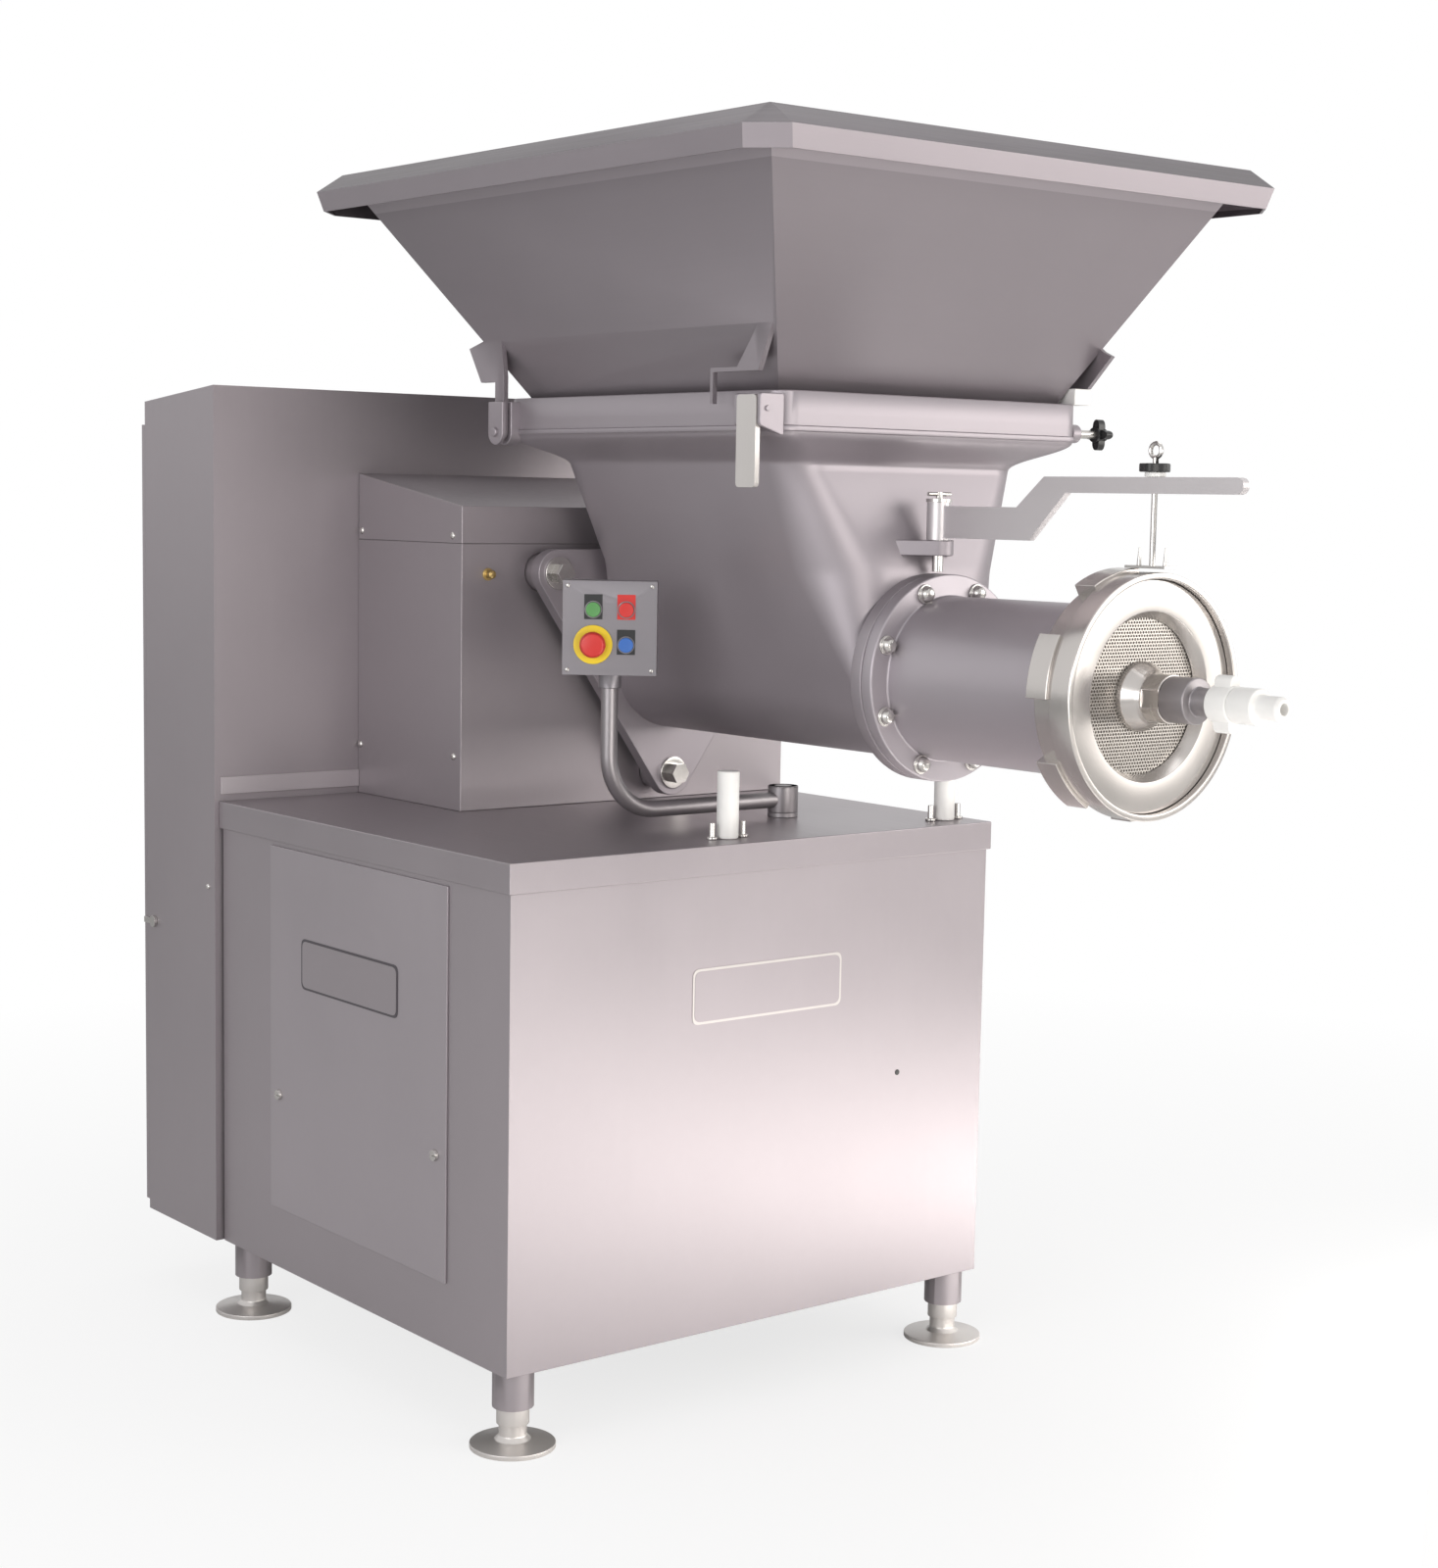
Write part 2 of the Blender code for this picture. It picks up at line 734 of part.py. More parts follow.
def base_frame():
    """Four posts between two rings, with leg sockets, motor rails and gearbox rails."""
    frame = frame_ring("base_frame", BASE_BOTTOM, BASE_BOTTOM + RAIL)
    tools = [frame_ring("top_ring", UNDER_COVER - RAIL, UNDER_COVER)]
    for name, (x, y) in LEG_PLACES.items():
        tools.append(box(f"post_{name}", (x - POST / 2, y - POST / 2, BASE_BOTTOM + POST_DROP),
                         (x + POST / 2, y + POST / 2, UNDER_COVER - POST_DROP)))
        tools.append(rod(f"socket_{name}", (x, y, SOCKET_BOTTOM), (x, y, BASE_BOTTOM + SOCKET_RISE),
                         SOCKET_RADIUS))
    low, high = base_corners(CABINET_IN + RAIL / 2, 0, 0)
    for name, x in (("rear", -MOTOR_BACK + MOTOR_RAIL_INSET), ("front", -MOTOR_FRONT - MOTOR_RAIL_INSET)):
        half = MOTOR_RAIL_WIDTH / 2
        tools.append(box(f"motor_rail_{name}", (x - half, low[1], BASE_BOTTOM + POST_DROP / 2),
                         (x + half, high[1], BASE_BOTTOM + RAIL - POST_DROP / 2)))
        tools.append(box(f"gearbox_rail_{name}", (x - half, low[1], UNDER_COVER - RAIL + POST_DROP / 2),
                         (x + half, high[1], UNDER_COVER - POST_DROP / 2)))
    join(frame, *tools)
    bores = [rod(f"bore_{name}", (x, y, SOCKET_BOTTOM - RAIL), (x, y, STEM_TOP + GAP),
                 clear(STEM_RADIUS)) for name, (x, y) in LEG_PLACES.items()]
    cut(frame, *bores)
    paint(STEEL, frame)


def feet():
    """Levelling feet: a domed disc, a stem and a collar under the socket."""
    collar_top = SOCKET_BOTTOM - GAP
    profile = [(0, STEM_TOP), (STEM_RADIUS, STEM_TOP), (STEM_RADIUS, collar_top),
               (COLLAR_RADIUS, collar_top), (COLLAR_RADIUS, collar_top - COLLAR_LENGTH),
               (STEM_RADIUS, collar_top - COLLAR_LENGTH), (STEM_RADIUS, FOOT_DOME),
               (FOOT_RADIUS, FOOT_THICKNESS), (FOOT_RADIUS, 0), (0, 0)]
    for name, (x, y) in LEG_PLACES.items():
        paint(STEEL, turned(f"foot_{name}", profile, (x, y, 0), steps=ROUND))


def base_cabinet():
    """The wrap-round sheet with its access and motor openings."""
    low, high = base_corners(CABINET_OUT, BASE_BOTTOM, UNDER_COVER)
    cabinet = shell("base_cabinet", low, high, CABINET_SHEET, [(0, 0, 1), (0, 0, -1)])
    access = box("access", (SIDE_DOOR_LAP - SIDE_DOOR_BACK, low[1] - RAIL, SIDE_DOOR_BOTTOM + SIDE_DOOR_LAP),
                 (-SIDE_DOOR_FRONT - SIDE_DOOR_LAP, low[1] + RAIL / 2, SIDE_DOOR_TOP - SIDE_DOOR_LAP))
    cut(cabinet, access, motor_slot("slot"))
    paint(STEEL, cabinet)
    low, high = base_corners(0, BASE_TOP - SKIRT, BASE_TOP)
    cover = shell("base_cover", low, high, COVER_SHEET, [(0, 0, -1)])
    paint(STEEL, cover)


def motor_slot(name):
    """The opening that lets the motor shaft through the two back walls."""
    return box(name, (-BASE_LENGTH - RAIL, -MOTOR_SLOT, MOTOR_HEIGHT - MOTOR_SLOT),
               (-BASE_LENGTH + RAIL / 2, MOTOR_SLOT, MOTOR_HEIGHT + MOTOR_SLOT))


def side_door():
    """The access panel on the operator's side and its two quarter-turn fasteners."""
    outer = COVER_OVERHANG - BASE_NEAR - GAP
    door = box("side_door", (-SIDE_DOOR_BACK, outer - SIDE_DOOR_SHEET, SIDE_DOOR_BOTTOM),
               (-SIDE_DOOR_FRONT, outer, SIDE_DOOR_TOP))
    paint(STEEL, door)
    face = outer - SIDE_DOOR_SHEET - GAP
    places = {"rear": -SIDE_DOOR_BACK + FASTENER_OFFSET + SIDE_DOOR_LAP,
              "front": -SIDE_DOOR_FRONT - FASTENER_OFFSET - SIDE_DOOR_LAP}
    for name, x in places.items():
        cut(door, rod(f"hole_{name}", (x, face - RAIL, FASTENER_HEIGHT), (x, outer + RAIL, FASTENER_HEIGHT),
                      clear(FASTENER_STEM, 12), 12))
        head = rod(f"side_door_fastener_{name}", (x, face, FASTENER_HEIGHT),
                   (x, face - FASTENER_HEAD, FASTENER_HEIGHT), FASTENER_RADIUS, 16, FASTENER_STEM * 2)
        stem = rod("stem", (x, face - FASTENER_HEAD / 2, FASTENER_HEIGHT),
                   (x, outer + FASTENER_DEPTH, FASTENER_HEIGHT), FASTENER_STEM, 12)
        slot = box("slot", (x - FASTENER_RADIUS, face - FASTENER_HEAD * 2,
                            FASTENER_HEIGHT - FASTENER_SLOT / 2),
                   (x + FASTENER_RADIUS, face - FASTENER_HEAD / 2, FASTENER_HEIGHT + FASTENER_SLOT / 2))
        cut(join(head, stem), slot)
        paint(BRIGHT, head)
        carry(pivot(f"side_door_fastener_{name}_axis", (x, face, FASTENER_HEIGHT)), head)


# Rear cabinet

REAR_FRONT_X = -BASE_LENGTH - GAP
REAR_BACK_X = -BASE_LENGTH - REAR_DEPTH
HINGE_X = REAR_BACK_X - GAP - HINGE_SETBACK
HINGE_Y = REAR_FAR + HINGE_REACH


def rear_cabinet():
    """A sheet housing with a sloping roof and a flanged back, and the hinge pins."""
    cabinet = box("rear_cabinet", (REAR_BACK_X, -REAR_NEAR, BASE_BOTTOM),
                  (REAR_FRONT_X, REAR_FAR, REAR_TOP_FRONT))
    bm = bmesh.new()
    bm.from_mesh(cabinet.data)
    for vert in bm.verts:
        if vert.co.z > REAR_TOP_BACK and vert.co.x < REAR_FRONT_X - RAIL:
            vert.co.z = REAR_TOP_BACK
    bm.normal_update()
    back = [face for face in bm.faces if face.normal.x < -0.99]
    bmesh.ops.inset_region(bm, faces=back, thickness=REAR_FLANGE)
    bmesh.ops.delete(bm, geom=back, context="FACES")
    bm.to_mesh(cabinet.data)
    bm.free()
    thicken(cabinet, CABINET_SHEET)
    input_height = AXIS_HEIGHT - GEAR_CENTRES
    cut(cabinet, motor_slot("slot"),
        rod("shaft_hole", (REAR_FRONT_X - RAIL, 0, input_height), (REAR_FRONT_X + RAIL, 0, input_height),
            SHAFT_HOLE))
    for name, height in zip(("lower", "upper"), HINGE_HEIGHTS):
        lug = box(f"lug_{name}", (REAR_BACK_X + CABINET_SHEET / 2 - KNUCKLE_RADIUS * 2,
                                  HINGE_Y - KNUCKLE_RADIUS,
                                  height - HINGE_LUG), (REAR_BACK_X + HINGE_LUG_LENGTH,
                                                        HINGE_Y + KNUCKLE_RADIUS, height))
        pin = rod(f"pin_{name}", (HINGE_X, HINGE_Y, height - HINGE_LUG / 2),
                  (HINGE_X, HINGE_Y, height + KNUCKLE_LENGTH * PIN_SHARE), HINGE_PIN_RADIUS, 12)
        root = box(f"root_{name}", (REAR_BACK_X + CABINET_SHEET, REAR_FAR - CABINET_SHEET / 2,
                                    height - HINGE_LUG * LUG_SINK_SHARE),
                   (REAR_BACK_X + HINGE_LUG_LENGTH * LUG_SINK_SHARE, HINGE_Y,
                    height - HINGE_LUG * LUG_LIP_SHARE))
        join(cabinet, lug, root, pin)
    paint(STEEL, cabinet)


def rear_door():
    """A shallow pan on two lift-off hinges along its far edge."""
    inner = REAR_BACK_X - GAP
    door = shell("rear_door", (inner - DOOR_DEPTH, -REAR_NEAR, DOOR_BOTTOM), (inner, REAR_FAR, DOOR_TOP),
                 DOOR_SHEET, [(1, 0, 0)])
    for name, height in zip(("lower", "upper"), HINGE_HEIGHTS):
        base = height + GAP
        knuckle = rod(f"knuckle_{name}", (HINGE_X, HINGE_Y, base), (HINGE_X, HINGE_Y, base + KNUCKLE_LENGTH),
                      KNUCKLE_RADIUS, 16)
        leaf = box(f"leaf_{name}", (HINGE_X - HINGE_SETBACK * LEAF_BACK_SHARE,
                                    REAR_FAR - DOOR_SHEET * LEAF_SINK_SHARE,
                                    base + KNUCKLE_RADIUS / 2),
                   (HINGE_X + HINGE_SETBACK * LEAF_FRONT_SHARE, HINGE_Y,
                    base + KNUCKLE_LENGTH - KNUCKLE_RADIUS / 2))
        bore = rod(f"bore_{name}", (HINGE_X, HINGE_Y, base - HINGE_LUG),
                   (HINGE_X, HINGE_Y, base + KNUCKLE_LENGTH + HINGE_LUG), clear(HINGE_PIN_RADIUS, 12), 12)
        join(door, knuckle, leaf)
        cut(door, bore)
    paint(STEEL, door)
    carry(pivot("rear_door_hinge_axis", (HINGE_X, HINGE_Y, HINGE_HEIGHTS[0])), door)


def rear_latch():
    """A turn button on the cabinet's near side, whose lever laps the door's edge."""
    x = REAR_BACK_X + LATCH_SETBACK
    face = -REAR_NEAR - GAP
    latch = rod("rear_door_latch", (x, face, LATCH_HEIGHT), (x, face - LATCH_THICKNESS, LATCH_HEIGHT),
                LATCH_RADIUS, 20)
    half = LATCH_LEVER_WIDTH / 2
    lever = box("lever", (x - LATCH_LEVER, face - LATCH_THICKNESS * LATCH_BACK_SHARE, LATCH_HEIGHT - half),
                (x, face - LATCH_THICKNESS * LATCH_FRONT_SHARE, LATCH_HEIGHT + half))
    paint(BRIGHT, join(latch, lever))
    carry(pivot("rear_door_latch_axis", (x, face, LATCH_HEIGHT)), latch)
    strip = box("cover_joint_strip", (-BASE_LENGTH, STRIP_INSET - REAR_NEAR, STRIP_BOTTOM),
                (STRIP_THICKNESS - BASE_LENGTH, -COVER_NEAR - GAP, STRIP_TOP))
    paint(STEEL, strip)


# Gearbox cover, gearbox and drive

LUGS = {"near": (-LUG_SPREAD, LUG_HEIGHT), "far": (LUG_SPREAD, LUG_HEIGHT), "lower": (0, LOWER_LUG_HEIGHT)}
LOBE_ORDER = [LUGS["lower"], LUGS["far"], LUGS["near"]]
BARREL_AXIS = Vector((0, 0, AXIS_HEIGHT))
INPUT_HEIGHT = AXIS_HEIGHT - GEAR_CENTRES
HOUSING_FACE = -COVER_FRONT - CABINET_SHEET - GAP
LUG_REAR = -LUG_PLATE_BACK
GEAR_MODULE = 2 * GEAR_CENTRES / (PINION_TEETH * (1 + GEAR_RATIO))


def on_axis(x, radius_up=0.0):
    return (x, 0, AXIS_HEIGHT + radius_up)


def gearbox_cover():
    """A three-sided sheet cover with a sloping lid."""
    low = (-BASE_LENGTH, -COVER_NEAR, BASE_TOP + GAP)
    cover = shell("gearbox_cover", low, (-COVER_FRONT, COVER_FAR, COVER_SEAM), CABINET_SHEET,
                  [(0, 0, 1), (0, 0, -1), (-1, 0, 0)])
    holes = [rod(f"boss_hole_{name}", (-COVER_FRONT - RAIL, y, z), (-COVER_FRONT + RAIL, y, z),
                 BOSS_RADIUS + 5 * GAP) for name, (y, z) in LUGS.items()]
    holes.append(rod("shaft_hole", on_axis(-COVER_FRONT - RAIL), on_axis(-COVER_FRONT + RAIL),
                     OUTPUT_RADIUS + 5 * GAP))
    paint(STEEL, cut(cover, *holes))
    lid = box("gearbox_cover_lid", (CABINET_SHEET / 4 - BASE_LENGTH, -COVER_NEAR, COVER_SEAM + GAP),
              (-COVER_FRONT, COVER_FAR, LID_BACK))
    bm = bmesh.new()
    bm.from_mesh(lid.data)
    for vert in bm.verts:
        if vert.co.z > LID_FRONT and vert.co.x > -COVER_FRONT - RAIL:
            vert.co.z = LID_FRONT
    bm.normal_update()
    gone = [face for face in bm.faces if face.normal.x < -0.99 or face.normal.z < -0.99]
    bmesh.ops.delete(bm, geom=gone, context="FACES")
    bm.to_mesh(lid.data)
    bm.free()
    thicken(lid, CABINET_SHEET)
    paint(STEEL, lid)


def gearbox_housing():
    """A hollow casting whose front flange has three bosses that carry the bowl."""
    housing = box("gearbox_housing", (-HOUSING_BACK, -HOUSING_HALF_WIDTH, BASE_TOP + GAP),
                  (HOUSING_FACE - FLANGE_PLATE / 2, HOUSING_HALF_WIDTH, HOUSING_TOP))
    face = plate("face", lobes(LOBE_ORDER, BOSS_LOBE, 5), HOUSING_FACE - FLANGE_PLATE, HOUSING_FACE)
    bosses = [rod(f"boss_{name}", (HOUSING_FACE - FLANGE_PLATE / 2, y, z), (LUG_REAR - GAP, y, z),
                  BOSS_RADIUS)
              for name, (y, z) in LUGS.items()]
    cavity = box("cavity", (HOUSING_WALL - HOUSING_BACK, HOUSING_WALL - HOUSING_HALF_WIDTH,
                            BASE_TOP + GAP + HOUSING_WALL),
                 (-HOUSING_FRONT - HOUSING_WALL, HOUSING_HALF_WIDTH - HOUSING_WALL,
                  HOUSING_TOP - HOUSING_WALL))
    inner_back = HOUSING_WALL - HOUSING_BACK
    inner_front = -HOUSING_FRONT - HOUSING_WALL
    bores = [rod("output_bore", on_axis(inner_back - SEAT_DEPTH - GAP), on_axis(-COVER_FRONT),
                 clear(OUTPUT_RADIUS)),
             rod("input_bore", on_axis(-HOUSING_BACK - RAIL, -GEAR_CENTRES),
                 on_axis(inner_front + SEAT_DEPTH + GAP, -GEAR_CENTRES), clear(INPUT_RADIUS))]
    bores += [rod(f"bolt_hole_{name}", (-BOLT_END - 2 * GAP, y, z), (LUG_REAR + RAIL, y, z),
                  clear(BOLT_RADIUS, 16), 16) for name, (y, z) in LUGS.items()]
    join(housing, face, *bosses)
    cut(housing, cavity, *bores)
    paint(IRON, housing)


def gear_outline(centre, teeth, turn):
    """A toothed wheel's outline with straight-sided teeth, clear of its mate."""
    pitch_radius = GEAR_MODULE * teeth / 2
    outline = []
    step = 2 * pi / teeth
    for i in range(teeth):
        middle = step * i + turn
        for share, height in ((-0.5, -1), (-TOOTH_SHARE / 2, TOOTH_HEIGHT),
                              (TOOTH_SHARE / 2, TOOTH_HEIGHT), (0.5, -1)):
            angle = middle + step * share * (1 if height > 0 else 1 - TOOTH_SHARE)
            radius = pitch_radius + GEAR_MODULE * height
            outline.append((centre[0] + radius * cos(angle), centre[1] + radius * sin(angle)))
    return outline


def gears():
    """The output wheel on its shaft, and the pinion cut on the input shaft."""
    teeth = PINION_TEETH * GEAR_RATIO
    wheel = plate("output_gear", gear_outline((0, AXIS_HEIGHT), teeth, pi / teeth),
                  -GEAR_PLANE - GEAR_FACE / 2, -GEAR_PLANE + GEAR_FACE / 2)
    cut(wheel, rod("bore", on_axis(-GEAR_PLANE - GEAR_FACE), on_axis(-GEAR_PLANE + GEAR_FACE),
                   clear(OUTPUT_RADIUS)))
    paint(DARK_STEEL, wheel)
    back = HOUSING_WALL - HOUSING_BACK - SEAT_DEPTH
    shaft = rod("output_shaft", on_axis(back), on_axis(-SCREW_BACK - GAP), OUTPUT_RADIUS)
    half = OUTPUT_DRIVE / 2
    drive = box("drive", (-SCREW_BACK - RAIL, -half, AXIS_HEIGHT - half),
                (-SCREW_BACK + OUTPUT_DRIVE_LENGTH - 4 * GAP, half, AXIS_HEIGHT + half))
    paint(BRIGHT, join(shaft, drive))
    pinion = plate("input_pinion", gear_outline((0, INPUT_HEIGHT), PINION_TEETH, 0),
                   -GEAR_PLANE - PINION_FACE / 2, -GEAR_PLANE + PINION_FACE / 2)
    front = -HOUSING_FRONT - HOUSING_WALL + SEAT_DEPTH
    join(pinion, rod("input_shaft", (-PULLEY_PLANE - PULLEY_WIDTH / 2, 0, INPUT_HEIGHT),
                     (front, 0, INPUT_HEIGHT),
                     INPUT_RADIUS))
    paint(DARK_STEEL, pinion)
    return wheel, shaft, pinion


def pulley(name, radius, height, bore):
    """A flat-faced belt pulley with a flange at each edge."""
    half = PULLEY_WIDTH / 2
    rim = radius + PULLEY_FLANGE
    profile = [(rim, half), (rim, half - PULLEY_RIM), (radius, half - PULLEY_RIM),
               (radius, PULLEY_RIM - half),
               (rim, PULLEY_RIM - half), (rim, -half), (bore, -half), (bore, half)]
    return turned(name, profile, (-PULLEY_PLANE, 0, height), "x", ROUND)


def drive():
    """The motor with its shaft and pulley, the belt and the gearbox pulley."""
    upper = pulley("gearbox_pulley", GEARBOX_PULLEY_RADIUS, INPUT_HEIGHT, clear(INPUT_RADIUS))
    lower = pulley("motor_pulley", MOTOR_PULLEY_RADIUS, MOTOR_HEIGHT, MOTOR_SHAFT_RADIUS / 2)
    join(lower, rod("motor_shaft", (-PULLEY_PLANE - PULLEY_WIDTH * MOTOR_SHAFT_SHARE, 0, MOTOR_HEIGHT),
                    (-MOTOR_BACK + MOTOR_SHAFT_SEAT, 0, MOTOR_HEIGHT), MOTOR_SHAFT_RADIUS))
    paint(DARK_STEEL, upper, lower)
    steps = ROUND + 4
    lines = [belt_line((0, MOTOR_HEIGHT), clear(MOTOR_PULLEY_RADIUS + extra, 2 * ROUND), (0, INPUT_HEIGHT),
                       clear(GEARBOX_PULLEY_RADIUS + extra, 2 * ROUND),
                       steps) for extra in (0, BELT_THICKNESS)]
    half = PULLEY_WIDTH / 2 - PULLEY_RIM - GAP
    belt = flat("drive_belt", lines, -PULLEY_PLANE - half, -PULLEY_PLANE + half, "x")
    paint(RUBBER, belt)
    step = MOTOR_RADIUS * MOTOR_STEP_SHARE
    profile = [(0, MOTOR_LENGTH), (step, MOTOR_LENGTH), (MOTOR_RADIUS, MOTOR_LENGTH - MOTOR_SHIELD),
               (MOTOR_RADIUS, MOTOR_SHIELD), (step, 0), (0, 0)]
    motor = turned("motor", profile, (-MOTOR_BACK, 0, MOTOR_HEIGHT), "x", ROUND)
    foot = box("foot", (-MOTOR_BACK + MOTOR_SHIELD, -MOTOR_FOOT_HALF_WIDTH,
                        BASE_BOTTOM + RAIL - POST_DROP / 2 + GAP),
               (-MOTOR_FRONT - MOTOR_SHIELD, MOTOR_FOOT_HALF_WIDTH, MOTOR_HEIGHT - MOTOR_RADIUS / 2))
    join(motor, foot)
    cut(motor, rod("bore", (-MOTOR_BACK - RAIL, 0, MOTOR_HEIGHT),
                   (-MOTOR_BACK + MOTOR_SHAFT_SEAT + GAP, 0, MOTOR_HEIGHT), clear(MOTOR_SHAFT_RADIUS)))
    paint(IRON, motor)
    return upper, lower


# Bowl, barrel and cutting set


def wall_half_width(height, radius):
    """Half the width across two walls that leave a trough of this radius at a tangent."""
    slope = radians(WALL_SLOPE)
    return radius / cos(slope) + (height - AXIS_HEIGHT) * tan(slope)


def bowl_section(height, back, front, half, corner):
    outline = rounded((-back, -half), (front, half), min(corner, half * CORNER_LIMIT))
    return [(x, y, height) for x, y in outline]


def bowl_loft(name, wall, lift):
    """The bowl's solid form, made smaller all round by a wall for the inside."""
    radius = TROUGH_RADIUS - wall
    rim_wall = RIM_WALL if wall else 0
    rim = (RIM_BACK - rim_wall, RIM_FRONT - rim_wall, RIM_HALF_WIDTH - rim_wall, RIM_CORNER - rim_wall)
    sections = [bowl_section(RIM_TOP + lift, *rim), bowl_section(RIM_BOTTOM, *rim)]
    for height, front, corner in ((NECK_HEIGHT, NECK_FRONT, NECK_CORNER),
                                  (WAIST_HEIGHT, WAIST_FRONT, WAIST_CORNER)):
        sections.append(bowl_section(height, BOWL_BACK - wall, front - wall, wall_half_width(height, radius),
                                     corner - wall))
    for angle in TROUGH_ANGLES:
        half = radius * cos(radians(angle))
        corner = BOWL_WALL * 2 if angle == WALL_SLOPE else TROUGH_EDGE
        sections.append(bowl_section(AXIS_HEIGHT - radius * sin(radians(angle)), BOWL_BACK - wall,
                                     BOWL_FRONT - wall, half, corner))
    return loft(name, sections)


def bowl():
    """The cast bowl: flared rim, trough, lug plate, front flange, ear and hinge cheeks."""
    body = bowl_loft("bowl", 0, 0)
    lugs = plate("lug_plate", lobes(LOBE_ORDER, LUG_RADIUS, 5), LUG_REAR, LUG_REAR + LUG_PLATE_THICKNESS)
    flange = rod("flange", on_axis(FLANGE_BACK), on_axis(FLANGE_BACK + FLANGE_THICKNESS), FLANGE_RADIUS,
                 FINE)
    ear = plate("ear", [(EAR_ROOT, EAR_HALF_WIDTH), (EAR_ROOT, -EAR_HALF_WIDTH),
                        (WAIST_FRONT - BOWL_WALL / 2, -EAR_HALF_WIDTH)]
                + arc((ARM_X, 0), EAR_NOSE, -75, 75, 8) + [(WAIST_FRONT - BOWL_WALL / 2, EAR_HALF_WIDTH)],
                EAR_BOTTOM, EAR_TOP, "z")
    join(body, lugs, flange, ear, *clevises(), *lever_cheeks(), star_boss())
    holes = [bowl_loft("inside", BOWL_WALL, RAIL),
             rod("mouth", on_axis(FLANGE_BACK - RAIL), on_axis(FLANGE_BACK + FLANGE_THICKNESS + RAIL),
                 SHOULDER_RADIUS, FINE),
             rod("shaft_hole", on_axis(-BOWL_BACK - RAIL), on_axis(-BOWL_BACK + RAIL),
                 OUTPUT_RADIUS + 3 * GAP),
             rod("arm_pin_hole", (ARM_X, 0, EAR_BOTTOM - RAIL), (ARM_X, 0, EAR_TOP + RAIL),
                 clear(ARM_PIN_RADIUS, 16), 16),
             rod("star_hole", (STAR_X, RIM_HALF_WIDTH + GAP, STAR_HEIGHT),
                 (STAR_X, RIM_HALF_WIDTH + RAIL * 2, STAR_HEIGHT),
                 clear(STAR_ROD_RADIUS, 16), 16)]
    holes += [rod(f"bolt_hole_{name}", (LUG_REAR - RAIL, y, z), (LUG_REAR + RAIL, y, z),
                  clear(BOLT_RADIUS, 16), 16)
              for name, (y, z) in LUGS.items()]
    cut(body, *holes)
    paint(CAST, body)


CLEVIS_FACE = RIM_HALF_WIDTH + CLEVIS_STANDOFF


def clevises():
    """A pair of cheeks with a pin on each side of the rim, for the hopper's tongues."""
    pieces = []
    low = PIVOT_Z
    for side, name in ((-1, "near"), (1, "far")):
        inner = RIM_HALF_WIDTH - RIM_WALL / 2
        outer = CLEVIS_FACE + TONGUE + 2 * CLEVIS_GAP
        outline = ([(PIVOT_X + CLEVIS_HALF_WIDTH, CHEEK_TOP), (PIVOT_X - CLEVIS_HALF_WIDTH, CHEEK_TOP)]
                   + arc((PIVOT_X, low), CLEVIS_HALF_WIDTH, 180, 360, 8))
        pieces.append(side_plate(f"cheek_inner_{name}", outline, side, inner, CLEVIS_FACE))
        pieces.append(side_plate(f"cheek_outer_{name}", outline, side, outer, outer + CHEEK))
        pieces.append(rod(f"clevis_pin_{name}", (PIVOT_X, side * (CLEVIS_FACE - CHEEK), low),
                          (PIVOT_X, side * (outer + CHEEK * 1.3), low), PIVOT_PIN_RADIUS, 12))
    return pieces


def side_plate(name, outline, side, inner, outer):
    """A plate in an upright plane along X, between two distances from the barrel axis."""
    low, high = (inner, outer) if side < 0 else (-outer, -inner)
    return plate(name, outline, low, high, "y")


def lever_cheeks():
    """The two cheeks and the pin that hold the clamp lever on the operator's side."""
    outer = LEVER_PIVOT_Y + CHEEK_END_RADIUS * PIVOT_OUTER_SHARE
    outline = ([(-RIM_HALF_WIDTH + RIM_WALL / 2, CHEEK_TOP), (-outer, CHEEK_TOP)]
               + [(-outer, RIM_BOTTOM + CHEEK), (-RIM_HALF_WIDTH + RIM_WALL / 2, RIM_BOTTOM - CHEEK)])
    half = LEVER_WIDTH / 2 + CLEVIS_GAP
    pieces = []
    for name, start in (("rear", LEVER_X - half - CHEEK), ("front", LEVER_X + half)):
        pieces.append(plate(f"lever_cheek_{name}", outline, start, start + CHEEK))
    pieces.append(rod("lever_pin", (LEVER_X - half - CHEEK * 1.3, -LEVER_PIVOT_Y, LEVER_PIVOT_HEIGHT),
                      (LEVER_X + half + CHEEK * 1.3, -LEVER_PIVOT_Y, LEVER_PIVOT_HEIGHT), PIVOT_PIN_RADIUS,
                      12))
    return pieces


def star_boss():
    return rod("star_boss", (STAR_X, RIM_HALF_WIDTH - RIM_WALL / 2, STAR_HEIGHT),
               (STAR_X, RIM_HALF_WIDTH + RIM_WALL, STAR_HEIGHT), STAR_HUB, 16)


def bowl_bolts():
    """Three hexagon bolts with washers that hold the bowl to the gearbox bosses."""
    face = LUG_REAR + LUG_PLATE_THICKNESS + GAP
    for name, (y, z) in LUGS.items():
        bolt = rod(f"bowl_bolt_{name}", (face + BOLT_WASHER * WASHER_SINK_SHARE, y, z),
                   (face + BOLT_WASHER + BOLT_HEAD, y, z),
                   BOLT_FLATS / sqrt(3), 6)
        washer = rod("washer", (face, y, z), (face + BOLT_WASHER, y, z), BOLT_WASHER_RADIUS, ROUND)
        shank = rod("shank", (-BOLT_END, y, z), (face + BOLT_WASHER / 2, y, z), BOLT_RADIUS, 16)
        paint(BRIGHT, join(bolt, washer, shank))


